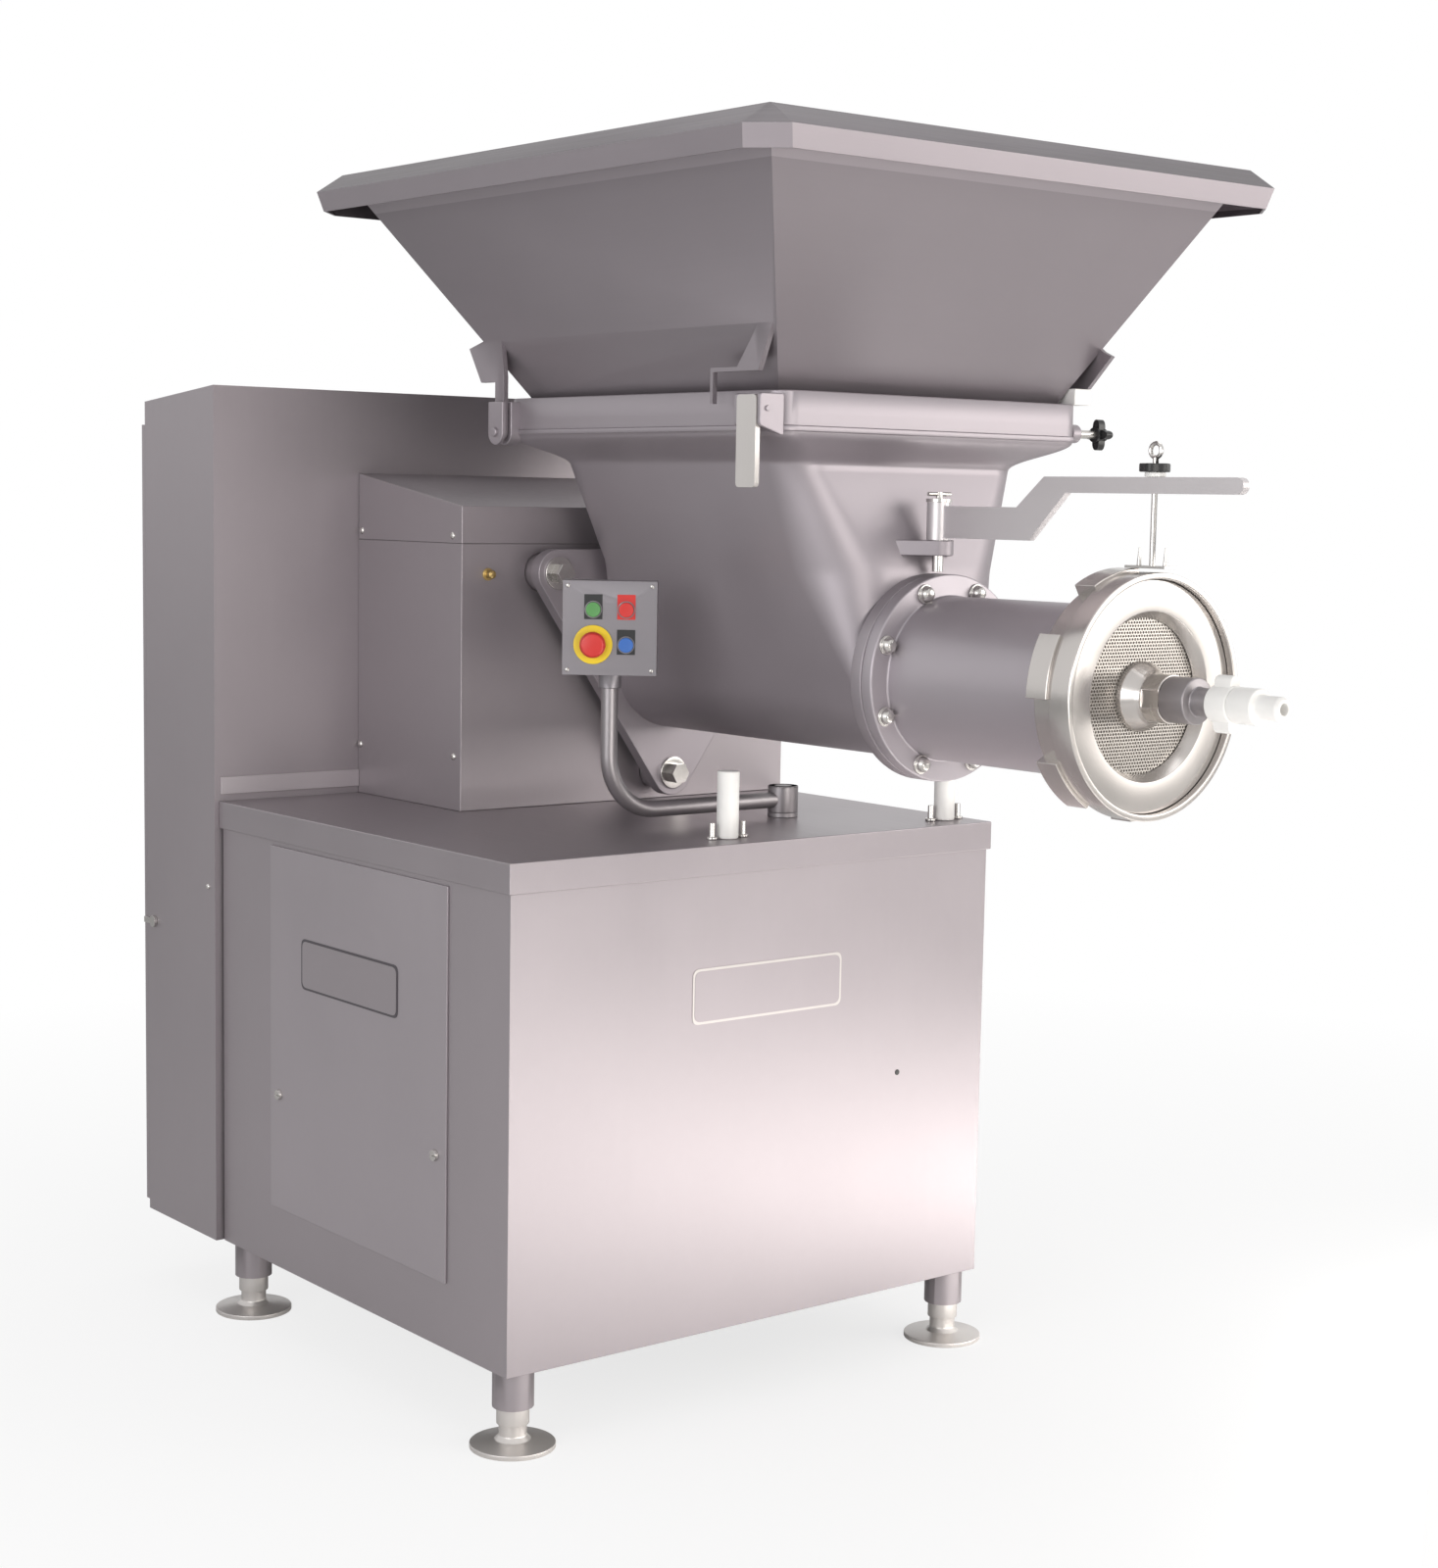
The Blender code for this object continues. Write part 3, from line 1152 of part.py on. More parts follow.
def barrel():
    """The barrel with its bolted flange and its threaded head."""
    face = FLANGE_BACK + FLANGE_THICKNESS + GAP
    profile = [(HEAD_RADIUS, HEAD_END), (HEAD_RADIUS, BARREL_NECK_END), (BARREL_RADIUS, BARREL_NECK_END),
               (BARREL_RADIUS, face + FLANGE_THICKNESS), (FLANGE_RADIUS, face + FLANGE_THICKNESS),
               (FLANGE_RADIUS, face), (BORE_RADIUS, face), (BORE_RADIUS, HEAD_END)]
    body = turned("barrel", profile, BARREL_AXIS, "x")
    nuts = []
    for i in range(NUT_COUNT):
        angle = 2 * pi * (i + 0.5) / NUT_COUNT
        y = BOLT_CIRCLE * cos(angle)
        z = AXIS_HEIGHT + BOLT_CIRCLE * sin(angle)
        start = face + FLANGE_THICKNESS
        nuts.append(rod(f"nut_{i}", (start - NUT_HEIGHT / 2, y, z), (start + NUT_HEIGHT, y, z),
                        NUT_FLATS / sqrt(3), 6))
    paint(CAST, join(body, *nuts))


def feed_screw():
    """A shaft with one helical flight, a square socket behind and a square and stud in front."""
    plate_back = KNIFE_BACK + KNIFE_THICKNESS + GAP
    stud_end = plate_back + PLATE_THICKNESS * STUD_SINK_SHARE
    shaft = rod("feed_screw", on_axis(-SCREW_BACK), on_axis(KNIFE_BACK - GAP), SCREW_SHAFT, ROUND)
    turns = (FLIGHT_FRONT + FLIGHT_BACK) / FLIGHT_PITCH
    count = round(turns * 14)
    root = SCREW_SHAFT * FLIGHT_ROOT_SHARE
    sections = []
    for i in range(count + 1):
        angle = 2 * pi * turns * i / count
        x = -FLIGHT_BACK + (FLIGHT_FRONT + FLIGHT_BACK) * i / count
        ring = []
        for radius, side in ((root, -1), (SCREW_RADIUS, -1), (SCREW_RADIUS, 1), (root, 1)):
            ring.append((x + side * FLIGHT_THICKNESS / 2, radius * cos(angle),
                         AXIS_HEIGHT + radius * sin(angle)))
        sections.append(ring)
    flight = loft("flight", sections)
    half = KNIFE_SQUARE / 2
    square = box("square", (KNIFE_BACK - RAIL, -half, AXIS_HEIGHT - half),
                 (plate_back - GAP, half, AXIS_HEIGHT + half))
    stud = rod("stud", on_axis(KNIFE_BACK), on_axis(stud_end), PLATE_BORE - BORE_GAP, 20)
    half = OUTPUT_DRIVE / 2 + BORE_GAP
    socket = box("socket", (-SCREW_BACK - RAIL, -half, AXIS_HEIGHT - half),
                 (-SCREW_BACK + SCREW_SOCKET, half, AXIS_HEIGHT + half))
    join(shaft, flight, square, stud)
    paint(BRIGHT, cut(shaft, socket))
    return shaft


def knife():
    """A four-armed knife on the screw's square."""
    front = KNIFE_BACK + KNIFE_THICKNESS
    hub = rod("knife", on_axis(KNIFE_BACK), on_axis(front), KNIFE_HUB, ROUND)
    half = KNIFE_ARM / 2
    edge = KNIFE_THICKNESS * KNIFE_EDGE_SHARE
    arms = [box("arm_across", (KNIFE_BACK + edge, -KNIFE_RADIUS, AXIS_HEIGHT - half),
                (front - edge, KNIFE_RADIUS, AXIS_HEIGHT + half)),
            box("arm_up", (KNIFE_BACK + 2 * edge, -half, AXIS_HEIGHT - KNIFE_RADIUS),
                (front - 2 * edge, half, AXIS_HEIGHT + KNIFE_RADIUS))]
    half = KNIFE_SQUARE / 2 + BORE_GAP
    hole = box("hole", (KNIFE_BACK - RAIL, -half, AXIS_HEIGHT - half),
               (front + RAIL, half, AXIS_HEIGHT + half))
    join(hub, *arms)
    paint(BRIGHT, cut(hub, hole))
    return hub


PLATE_BACK = KNIFE_BACK + KNIFE_THICKNESS + GAP
PLATE_FACE = PLATE_BACK + PLATE_THICKNESS


def cutting_head():
    """The plate, the bridge ring in front of it and the lugged ring that holds both."""
    radius = BORE_RADIUS * cos(pi / FINE) - BORE_GAP
    profile = [(radius, PLATE_FACE), (radius, PLATE_BACK), (PLATE_BORE, PLATE_BACK),
               (PLATE_BORE, PLATE_FACE)]
    paint(BRIGHT, turned("grinder_plate", profile, BARREL_AXIS, "x"))
    face = PLATE_FACE + GAP
    profile = [(BRIDGE_RADIUS, BRIDGE_FRONT), (BRIDGE_RADIUS, BRIDGE_FLANGE_END),
               (BRIDGE_FLANGE_RADIUS, BRIDGE_FLANGE_END), (BRIDGE_FLANGE_RADIUS, face),
               (BRIDGE_BORE, face), (BRIDGE_OPENING, BRIDGE_FRONT)]
    paint(BRIGHT, turned("bridge_ring", profile, BARREL_AXIS, "x"))
    tight = 1 / cos(pi / FINE)
    head = (HEAD_RADIUS + BORE_GAP) * tight
    flange = (BRIDGE_FLANGE_RADIUS + BORE_GAP) * tight
    lip = (BRIDGE_RADIUS + BORE_GAP) * tight
    profile = [(RING_RADIUS, RING_FRONT), (RING_RADIUS, RING_STEP), (RING_BAND_RADIUS, RING_STEP),
               (RING_BAND_RADIUS, RING_BACK), (head, RING_BACK), (head, HEAD_END + GAP),
               (flange, HEAD_END + GAP), (flange, BRIDGE_FLANGE_END + GAP), (lip, BRIDGE_FLANGE_END + GAP),
               (lip, RING_FRONT)]
    ring = turned("retaining_ring", profile, BARREL_AXIS, "x")
    tools = []
    for start in RING_LUG_STARTS:
        end = start + RING_LUG_ARC
        outline = (arc((0, AXIS_HEIGHT), RING_LUG_RADIUS, start, end, 4)
                   + arc((0, AXIS_HEIGHT), RING_BAND_RADIUS * BAND_OVERLAP_SHARE, end, start, 4))
        tools.append(plate(f"lug_{start}", outline, RING_BACK + GAP, RING_STEP + GAP))
    join(ring, *tools)
    paint(BRIGHT, ring)
    return ring


def discharge():
    """The centre discharge: a coned hub, a coupling and a valve with a winged handle."""
    start = PLATE_FACE + GAP
    bore = DISCHARGE_BORE
    profile = [(HUB_RADIUS, HUB_END), (HUB_RADIUS, HUB_CONE_END), (HUB_BASE_RADIUS, start), (bore, start),
               (bore, HUB_END)]
    hub = turned("discharge_hub", profile, BARREL_AXIS, "x", ROUND)
    for side in (-1, 1):
        edge = side * HUB_FLATS / 2
        low = min(edge, edge + side * HUB_RADIUS)
        cut(hub, box(f"flat_{side + 1}", (HUB_CONE_END, low, AXIS_HEIGHT - HUB_RADIUS * 2),
                     (HUB_END + RAIL, low + HUB_RADIUS, AXIS_HEIGHT + HUB_RADIUS * 2)))
    paint(BRIGHT, hub)
    profile = [(COUPLING_NECK, COUPLING_NECK_END), (COUPLING_NECK, COUPLING_END),
               (COUPLING_RADIUS, COUPLING_END),
               (COUPLING_RADIUS, HUB_END + GAP), (bore, HUB_END + GAP), (bore, COUPLING_NECK_END)]
    paint(STEEL, turned("discharge_coupling", profile, BARREL_AXIS, "x", ROUND))
    start = COUPLING_NECK_END + GAP
    profile = [(SPOUT_RADIUS * SPOUT_MOUTH_SHARE, SPOUT_END),
               (SPOUT_RADIUS, SPOUT_END - SPOUT_RADIUS * SPOUT_EDGE_SHARE),
               (SPOUT_RADIUS, VALVE_BODY_END), (VALVE_RADIUS, VALVE_BODY_END),
               (VALVE_RADIUS, HANDLE_END + GAP),
               (VALVE_STEM, HANDLE_END + GAP), (VALVE_STEM, start), (bore, start), (bore, SPOUT_END)]
    paint(WHITE, turned("valve_body", profile, BARREL_AXIS, "x", ROUND))
    handle = rod("valve_handle", on_axis(start), on_axis(HANDLE_END), HANDLE_HUB, ROUND)
    wing = box("wing", (start + GAP, -HANDLE_WING / 2, AXIS_HEIGHT - HANDLE_SPAN / 2),
               (HANDLE_END - GAP, HANDLE_WING / 2, AXIS_HEIGHT + HANDLE_SPAN / 2))
    hole = rod("hole", on_axis(start - RAIL), on_axis(HANDLE_END + RAIL),
               clear(VALVE_STEM), ROUND)
    join(handle, wing)
    paint(WHITE, cut(handle, hole))
    return handle


# Hopper with its brackets, clamp lever and star knob

def rectangle(height, back, front, half, inset=0.0):
    return [(x, y, height) for x, y in ((inset - back, inset - half), (front - inset, inset - half),
                                        (front - inset, half - inset), (inset - back, half - inset))]


def chamfered(height, back, front, half, offset, chamfer):
    """A rectangle's ring with cut corners, moved outward by an offset."""
    low_x, high_x, y = -back - offset, front + offset, half + offset
    return [(low_x + chamfer, -y, height), (high_x - chamfer, -y, height), (high_x, chamfer - y, height),
            (high_x, y - chamfer, height), (high_x - chamfer, y, height), (low_x + chamfer, y, height),
            (low_x, y - chamfer, height), (low_x, chamfer - y, height)]


HOPPER_FOOT = RIM_TOP + GAP
HOPPER_BASE = (HOPPER_BACK, HOPPER_FRONT, HOPPER_HALF_WIDTH)
HOPPER_CREST = (HOPPER_TOP_BACK, HOPPER_TOP_FRONT, HOPPER_TOP_HALF_WIDTH)


def hopper_at(height):
    """The back, front and half width of the hopper's outside at a height."""
    share = (height - HOPPER_FOOT) / (HOPPER_TOP - HOPPER_FOOT)
    return [low + (high - low) * share for low, high in zip(HOPPER_BASE, HOPPER_CREST)]


def hopper_rim():
    """The folded rim: a bevel outward and down, then a fascia, open underneath."""
    edge = HOPPER_SHEET
    small = edge / 2
    rim = loft("rim", [chamfered(HOPPER_TOP, *HOPPER_CREST, 0, small),
                       chamfered(FASCIA_TOP, *HOPPER_CREST, FASCIA_OFFSET, FASCIA_CHAMFER),
                       chamfered(FASCIA_BOTTOM, *HOPPER_CREST, FASCIA_OFFSET - FASCIA_LEAN, FASCIA_CHAMFER)])
    inner = FASCIA_OFFSET - edge
    channel = loft("channel", [chamfered(HOPPER_TOP - edge * 1.5, *HOPPER_CREST, 0, small),
                               chamfered(FASCIA_TOP - edge, *HOPPER_CREST, inner, FASCIA_CHAMFER),
                               chamfered(FASCIA_BOTTOM - edge, *HOPPER_CREST, inner - FASCIA_LEAN * 1.1,
                                         FASCIA_CHAMFER)])
    return cut(rim, channel)


def tongue_outline():
    """The rear bracket: a trapezium off the back wall with a tongue round the pivot."""
    top = BRACKET_HEIGHT + GUSSET_RISE * REAR_GUSSET_TOP_SHARE
    crest = top + GUSSET * 1.5
    back_low = -hopper_at(BRACKET_HEIGHT)[0] - GUSSET_REACH
    back_high = -hopper_at(top)[0] - GUSSET_REACH * REAR_GUSSET_REACH_SHARE
    return ([(back_low, BRACKET_HEIGHT), (PIVOT_X - TONGUE_HALF_WIDTH, BRACKET_HEIGHT)]
            + arc((PIVOT_X, PIVOT_Z), TONGUE_HALF_WIDTH, 180, 360, 8)
            + [(PIVOT_X + TONGUE_HALF_WIDTH, BRACKET_HEIGHT + GUSSET),
               (-hopper_at(crest)[0] + GUSSET_REACH, crest),
               (-hopper_at(crest)[0] + GUSSET, crest), (back_high, top)])


def hook_outline():
    """The front bracket on the operator's side, with a foot that turns down at its end."""
    foot = BRACKET_HEIGHT + GUSSET * HOOK_SHARE
    top = BRACKET_HEIGHT + GUSSET_RISE * FRONT_GUSSET_TOP_SHARE
    crest = top + GUSSET * 2
    front_low = hopper_at(BRACKET_HEIGHT)[1]
    front_high = hopper_at(crest)[1]
    lip = LEVER_X - HOOK_SPAN
    return [(lip, BRACKET_HEIGHT - HOOK_DROP), (lip + GUSSET * HOOK_SHARE, BRACKET_HEIGHT - HOOK_DROP),
            (lip + GUSSET * HOOK_SHARE, BRACKET_HEIGHT), (front_low, BRACKET_HEIGHT),
            (front_high - GUSSET, crest),
            (front_high - GUSSET_REACH * GUSSET_CREST_SHARE, crest),
            (front_high - GUSSET_REACH * GUSSET_SLOPE_SHARE, top),
            (front_high - GUSSET_REACH * 1.6, foot), (lip, foot)]


def foot_outline():
    """The front bracket on the far side, which stands on the pad."""
    top = BRACKET_HEIGHT + GUSSET_RISE * TONGUE_TOP_SHARE
    crest = top + GUSSET * 1.5
    front_low = hopper_at(BRACKET_HEIGHT)[1]
    front_high = hopper_at(top)[1]
    return [(front_low - GUSSET_REACH, BRACKET_HEIGHT), (front_low + FOOT_TOE, BRACKET_HEIGHT),
            (front_high + GUSSET_REACH / 2, top - GUSSET), (front_high + GUSSET, top),
            (front_high - GUSSET, crest), (front_high - GUSSET_REACH, crest)]


BRACKET_INNER = CLEVIS_FACE + CLEVIS_GAP


def hopper():
    """The pyramid hopper, its folded rim and its four brackets, as one welded piece."""
    above = HOPPER_TOP - HOPPER_SHEET
    body = loft("hopper", [rectangle(HOPPER_FOOT, *HOPPER_BASE), rectangle(above, *hopper_at(above))])
    pieces = [hopper_rim()]
    outer = BRACKET_INNER + TONGUE
    for side, name, front in ((-1, "near", hook_outline()), (1, "far", foot_outline())):
        pieces.append(side_plate(f"tongue_{name}", tongue_outline(), side, BRACKET_INNER, outer))
        pieces.append(side_plate(f"front_bracket_{name}", front, side, BRACKET_INNER, outer))
    join(body, *pieces)
    inset = HOPPER_SHEET * 1.2
    low = HOPPER_FOOT - RAIL / 2
    high = HOPPER_TOP + RAIL
    inside = loft("inside", [rectangle(low, *hopper_at(low), inset),
                             rectangle(high, *hopper_at(high), inset)])
    bores = [rod(f"pivot_bore_{name}", (PIVOT_X, side * (BRACKET_INNER - CHEEK / 2), PIVOT_Z),
                 (PIVOT_X, side * (outer + CHEEK / 2), PIVOT_Z), clear(PIVOT_PIN_RADIUS, 12), 12)
             for side, name in ((-1, "near"), (1, "far"))]
    cut(body, inside, *bores)
    paint(STEEL, body)
    front = hopper_at(BRACKET_HEIGHT)[1] + FOOT_TOE
    pad = box("hopper_pad", (front - GUSSET_REACH, hopper_at(BRACKET_HEIGHT)[2] + 2 * GAP, RIM_TOP + GAP),
              (front, outer, BRACKET_HEIGHT - GAP))
    paint(WHITE, pad)
    return body


def clamp_lever():
    """A flat lever with a hub on the pin between its cheeks."""
    half = LEVER_WIDTH / 2
    face = LEVER_PIVOT_Y + CHEEK_END_RADIUS * LEVER_FACE_SHARE
    outline = rounded((LEVER_X - half, LEVER_BOTTOM), (LEVER_X + half, LEVER_TOP),
                      LEVER_THICKNESS * LEVER_ROUND_SHARE)
    lever = plate("clamp_lever", outline, face, face + LEVER_THICKNESS, "y")
    hub = rod("hub", (LEVER_X - half + GAP, -LEVER_PIVOT_Y, LEVER_PIVOT_HEIGHT),
              (LEVER_X + half - GAP, -LEVER_PIVOT_Y, LEVER_PIVOT_HEIGHT), CHEEK_END_RADIUS / 2, 20)
    bore = rod("bore", (LEVER_X - LEVER_WIDTH, -LEVER_PIVOT_Y, LEVER_PIVOT_HEIGHT),
               (LEVER_X + LEVER_WIDTH, -LEVER_PIVOT_Y, LEVER_PIVOT_HEIGHT), clear(PIVOT_PIN_RADIUS, 12), 12)
    join(lever, hub)
    paint(STEEL, cut(lever, bore))
    return lever


def star_knob():
    """A lobed hand knob on a threaded rod."""
    x = STAR_X
    start = STAR_ROD_END
    knob = rod("star_knob", (x, start, STAR_HEIGHT), (x, start + STAR_LENGTH, STAR_HEIGHT), STAR_HUB,
               ROUND)
    stem = rod("stem", (x, RIM_HALF_WIDTH + 2 * GAP, STAR_HEIGHT), (x, start + STAR_HUB / 2, STAR_HEIGHT),
               STAR_ROD_RADIUS, 16)
    tools = [stem]
    for i in range(4):
        angle = i * pi / 2
        reach = STAR_RADIUS - STAR_LOBE
        place = (x + reach * cos(angle), STAR_HEIGHT + reach * sin(angle))
        edge = start + STAR_GRIP_START
        tools.append(rod(f"lobe_{i}", (place[0], edge, place[1]),
                         (place[0], edge + STAR_GRIP_LENGTH, place[1]),
                         STAR_LOBE, 12))
    paint(BLACK, join(knob, *tools))
    return knob


# Ring arm

def ring_arm():
    """The cranked flat bar with its hub, its pin and the hanger that takes the ring."""
    hub = rod("ring_arm", (ARM_X, 0, ARM_HUB_BOTTOM), (ARM_X, 0, ARM_HUB_TOP), ARM_HUB_RADIUS)
    start = ARM_X + ARM_HUB_RADIUS / 2
    bar = [(start, ARM_LOW[0]), (ARM_BEND_BOTTOM[0], ARM_LOW[0]), (ARM_BEND_BOTTOM[1], ARM_HIGH[0])]
    end_radius = (ARM_HIGH[1] - ARM_HIGH[0]) / 2
    bar += arc((ARM_END - end_radius, ARM_HIGH[0] + end_radius), end_radius, -90, 90, 6)
    bar += [(ARM_BEND_TOP[1], ARM_HIGH[1]), (ARM_BEND_TOP[0], ARM_LOW[1]), (start, ARM_LOW[1])]
    join(hub, plate("bar", bar, -ARM_THICKNESS / 2, ARM_THICKNESS / 2, "y"))
    bore = rod("pin_bore", (ARM_X, 0, ARM_HUB_BOTTOM - RAIL), (ARM_X, 0, ARM_HUB_TOP + RAIL),
               clear(ARM_PIN_RADIUS, 16), 16)
    rod_bore = rod("rod_bore", (HANGER_X, 0, ARM_HIGH[0] - RAIL), (HANGER_X, 0, ARM_HIGH[1] + RAIL),
                   clear(HANGER_ROD_RADIUS, 12), 12)
    cut(hub, bore, rod_bore)
    paint(STEEL, hub)
    pin = rod("arm_pin", (ARM_X, 0, ARM_PIN_BOTTOM), (ARM_X, 0, ARM_HUB_TOP + GAP + ARM_CAP / 2),
              ARM_PIN_RADIUS, 16)
    cap = rod("cap", (ARM_X, 0, ARM_HUB_TOP + GAP), (ARM_X, 0, ARM_HUB_TOP + GAP + ARM_CAP), ARM_CAP_RADIUS)
    stem = rod("stem", (ARM_X, 0, ARM_HUB_TOP + ARM_CAP / 2), (ARM_X, 0, ARM_STEM_TOP), ARM_STEM_RADIUS, 12)
    half = ARM_HANDLE_LENGTH / 2
    bar = rod("bar", (ARM_X, -half, ARM_STEM_TOP - ARM_HANDLE_RADIUS),
              (ARM_X, half, ARM_STEM_TOP - ARM_HANDLE_RADIUS),
              ARM_HANDLE_RADIUS, 12)
    paint(BRIGHT, join(pin, cap, stem, bar))
    return hub, pin


def hanger():
    """The hanging rod with its eye, the washer and knob on the arm, and the ring plate."""
    plate_low = AXIS_HEIGHT + RING_LUG_RADIUS + HANGER_CLEARANCE
    plate_top = plate_low + HANGER_PLATE_THICKNESS
    half = HANGER_PLATE_WIDTH / 2
    spread = HANGER_PLATE_HALF_LENGTH
    carrier = box("hanger_plate", (HANGER_X - spread, -half, plate_low),
                  (HANGER_X + spread, half, plate_top))
    pins = [rod(f"pin_{side + 1}", (HANGER_X + side * HANGER_PIN_SPREAD, 0,
                                    plate_top - HANGER_PLATE_THICKNESS / 2),
                (HANGER_X + side * HANGER_PIN_SPREAD, 0, plate_top + HANGER_PIN_HEIGHT), HANGER_PIN_RADIUS,
                12,
                HANGER_PIN_RADIUS / 3) for side in (-1, 1)]
    join(carrier, *pins)
    cut(carrier, rod("hole", (HANGER_X, 0, plate_low - RAIL), (HANGER_X, 0, plate_top + RAIL),
                     clear(HANGER_ROD_RADIUS, 12), 12))
    paint(BRIGHT, carrier)
    washer_top = ARM_HIGH[1] + GAP + WASHER_THICKNESS
    knob_top = washer_top + GAP + HANGER_KNOB_HEIGHT
    bored = clear(HANGER_ROD_RADIUS, 12)
    washer = turned("hanger_washer", [(WASHER_RADIUS, washer_top), (WASHER_RADIUS, ARM_HIGH[1] + GAP),
                                      (bored, ARM_HIGH[1] + GAP), (bored, washer_top)], (HANGER_X, 0, 0),
                                      steps=ROUND)
    paint(WHITE, washer)
    outline = []
    points = HANGER_KNOB_LOBES * 8
    for i in range(points):
        angle = 2 * pi * i / points
        radius = HANGER_KNOB_RADIUS * (0.9 + 0.1 * cos(HANGER_KNOB_LOBES * angle))
        outline.append((HANGER_X + radius * cos(angle), radius * sin(angle)))
    knob = plate("hanger_knob", outline, washer_top + GAP, knob_top, "z")
    cut(knob, rod("hole", (HANGER_X, 0, washer_top - RAIL), (HANGER_X, 0, knob_top + RAIL), bored, 12))
    paint(BLACK, knob)
    eye_height = knob_top + EYE_RADIUS + EYE_WIRE
    hanging = rod("hanger_rod", (HANGER_X, 0, plate_low + HANGER_PLATE_THICKNESS * ROD_SINK_SHARE),
                  (HANGER_X, 0, eye_height - EYE_RADIUS), HANGER_ROD_RADIUS, 12)
    bpy.ops.mesh.primitive_torus_add(major_radius=EYE_RADIUS, minor_radius=EYE_WIRE, major_segments=16,
                                     minor_segments=8, location=(HANGER_X, 0, eye_height),
                                     rotation=(pi / 2, 0, 0))
    eye = bpy.context.object
    eye.name = "eye"
    for collection in list(eye.users_collection):
        collection.objects.unlink(eye)
    PARTS.objects.link(eye)
    paint(BRIGHT, join(hanging, eye))
    return carrier, washer, knob, hanging


# Controls and posts

def control_socket():
    """The fixed foot and pin on the base cover that the tube's sleeve turns on."""
    base = BASE_TOP + GAP
    y = CONTROL_SOCKET_Y
    socket = rod("control_socket", (-CONTROL_X, y, base), (-CONTROL_X, y, base + CONTROL_SOCKET_BASE),
                 CONTROL_SOCKET_RADIUS)
    pin = rod("pin", (-CONTROL_X, y, base + CONTROL_SOCKET_BASE / 2), (-CONTROL_X, y, CONTROL_SOCKET_TOP),
              CONTROL_PIN_RADIUS)
    paint(STEEL, join(socket, pin))


def control_arm():
    """The bent tube on its sleeve, up to the gland under the box."""
    low = BASE_TOP + 2 * GAP + CONTROL_SOCKET_BASE
    y = CONTROL_SOCKET_Y
    sleeve = rod("control_arm", (-CONTROL_X, y, low),
                 (-CONTROL_X, y, CONTROL_SOCKET_TOP + CONTROL_SOCKET_BASE / 2),
                 CONTROL_SOCKET_RADIUS)
    path = [(-CONTROL_X, y - CONTROL_PIN_RADIUS - CHEEK / 2, CONTROL_TUBE_HEIGHT)]
    for across, up in arc((CONTROL_TUBE_BEND - CONTROL_Y, CONTROL_TUBE_HEIGHT + CONTROL_TUBE_BEND),
                          CONTROL_TUBE_BEND, 270, 180, 7):
        path.append((-CONTROL_X, across, up))
    path.append((-CONTROL_X, -CONTROL_Y, CONTROL_TUBE_TOP))
    join(sleeve, tube("tube", path, CONTROL_TUBE_RADIUS))
    cut(sleeve, rod("pin_bore", (-CONTROL_X, y, low - RAIL), (-CONTROL_X, y, CONTROL_SOCKET_TOP + GAP),
                    clear(CONTROL_PIN_RADIUS)))
    paint(STEEL, sleeve)
    return sleeve


def control_box():
    """The box on its gland, its front panel, three push buttons and the stop button."""
    x, y = -CONTROL_X, -CONTROL_Y
    half = CONTROL_BOX_SIZE / 2
    middle = CONTROL_BOX_BOTTOM + half
    back = y + CONTROL_BOX_DEPTH / 2
    face = y - CONTROL_BOX_DEPTH / 2
    case = box("control_box", (x - half, face + CONTROL_PANEL + GAP, CONTROL_BOX_BOTTOM),
               (x + half, back, CONTROL_BOX_BOTTOM + CONTROL_BOX_SIZE))
    bm = bmesh.new()
    bm.from_mesh(case.data)
    front = [side for side in bm.faces if side.normal.y < -0.99]
    bmesh.ops.delete(bm, geom=front, context="FACES")
    bm.to_mesh(case.data)
    bm.free()
    thicken(case, CONTROL_BOX_WALL)
    gland = rod("gland", (x, y, CONTROL_TUBE_TOP + GAP), (x, y, CONTROL_BOX_BOTTOM + CONTROL_BOX_WALL / 2),
                CONTROL_GLAND_RADIUS, 16)
    paint(STEEL, join(case, gland))
    panel = box("control_panel", (x - half, face, CONTROL_BOX_BOTTOM),
                (x + half, face + CONTROL_PANEL, CONTROL_BOX_BOTTOM + CONTROL_BOX_SIZE))
    near, raised, low = BUTTON_OFFSET, BUTTON_RAISE, -BUTTON_OFFSET
    places = {"green_button": (-near, raised, GREEN), "red_button": (near, raised, RED),
              "blue_button": (near, low, BLUE)}
    buttons = []
    for name, (across, up, colour) in places.items():
        place = Vector((x + across, face, middle + up))
        out = Vector((0, -1, 0))
        collar = rod(f"collar_{name}", place - out * CONTROL_PANEL / 2, place + out * BUTTON_COLLAR_HEIGHT,
                     BUTTON_COLLAR, 20)
        hole = rod(f"hole_{name}", place - out * RAIL, place + out * RAIL, clear(BUTTON_RADIUS, 20), 20)
        join(panel, collar)
        cut(panel, hole)
        button = rod(name, place - out * BUTTON_DEPTH, place + out * BUTTON_PROUD, BUTTON_RADIUS, 20)
        paint(colour, button)
        buttons.append(button)
    place = Vector((x - near, face, middle + low))
    cut(panel, rod("hole_stop", place - out * RAIL, place + out * RAIL, clear(ESTOP_STEM, 16), 16))
    paint(STEEL, panel)
    disc = rod("estop_disc", place + out * GAP, place + out * (GAP + ESTOP_DISC), ESTOP_DISC_RADIUS)
    cut(disc, rod("hole", place - out * RAIL, place + out * RAIL, clear(ESTOP_STEM, 16), 16))
    paint(YELLOW, disc)
    start = GAP + ESTOP_DISC + ESTOP_CLEARANCE
    stop = rod("estop_button", place + out * start, place + out * (start + ESTOP_HEAD), ESTOP_RADIUS, ROUND,
               ESTOP_RADIUS * ESTOP_TOP_SHARE)
    join(stop, rod("stem", place - out * BUTTON_DEPTH, place + out * (start + ESTOP_HEAD / 2), ESTOP_STEM,
                   16))
    paint(RED, stop)
    return [case, panel, disc], buttons, stop


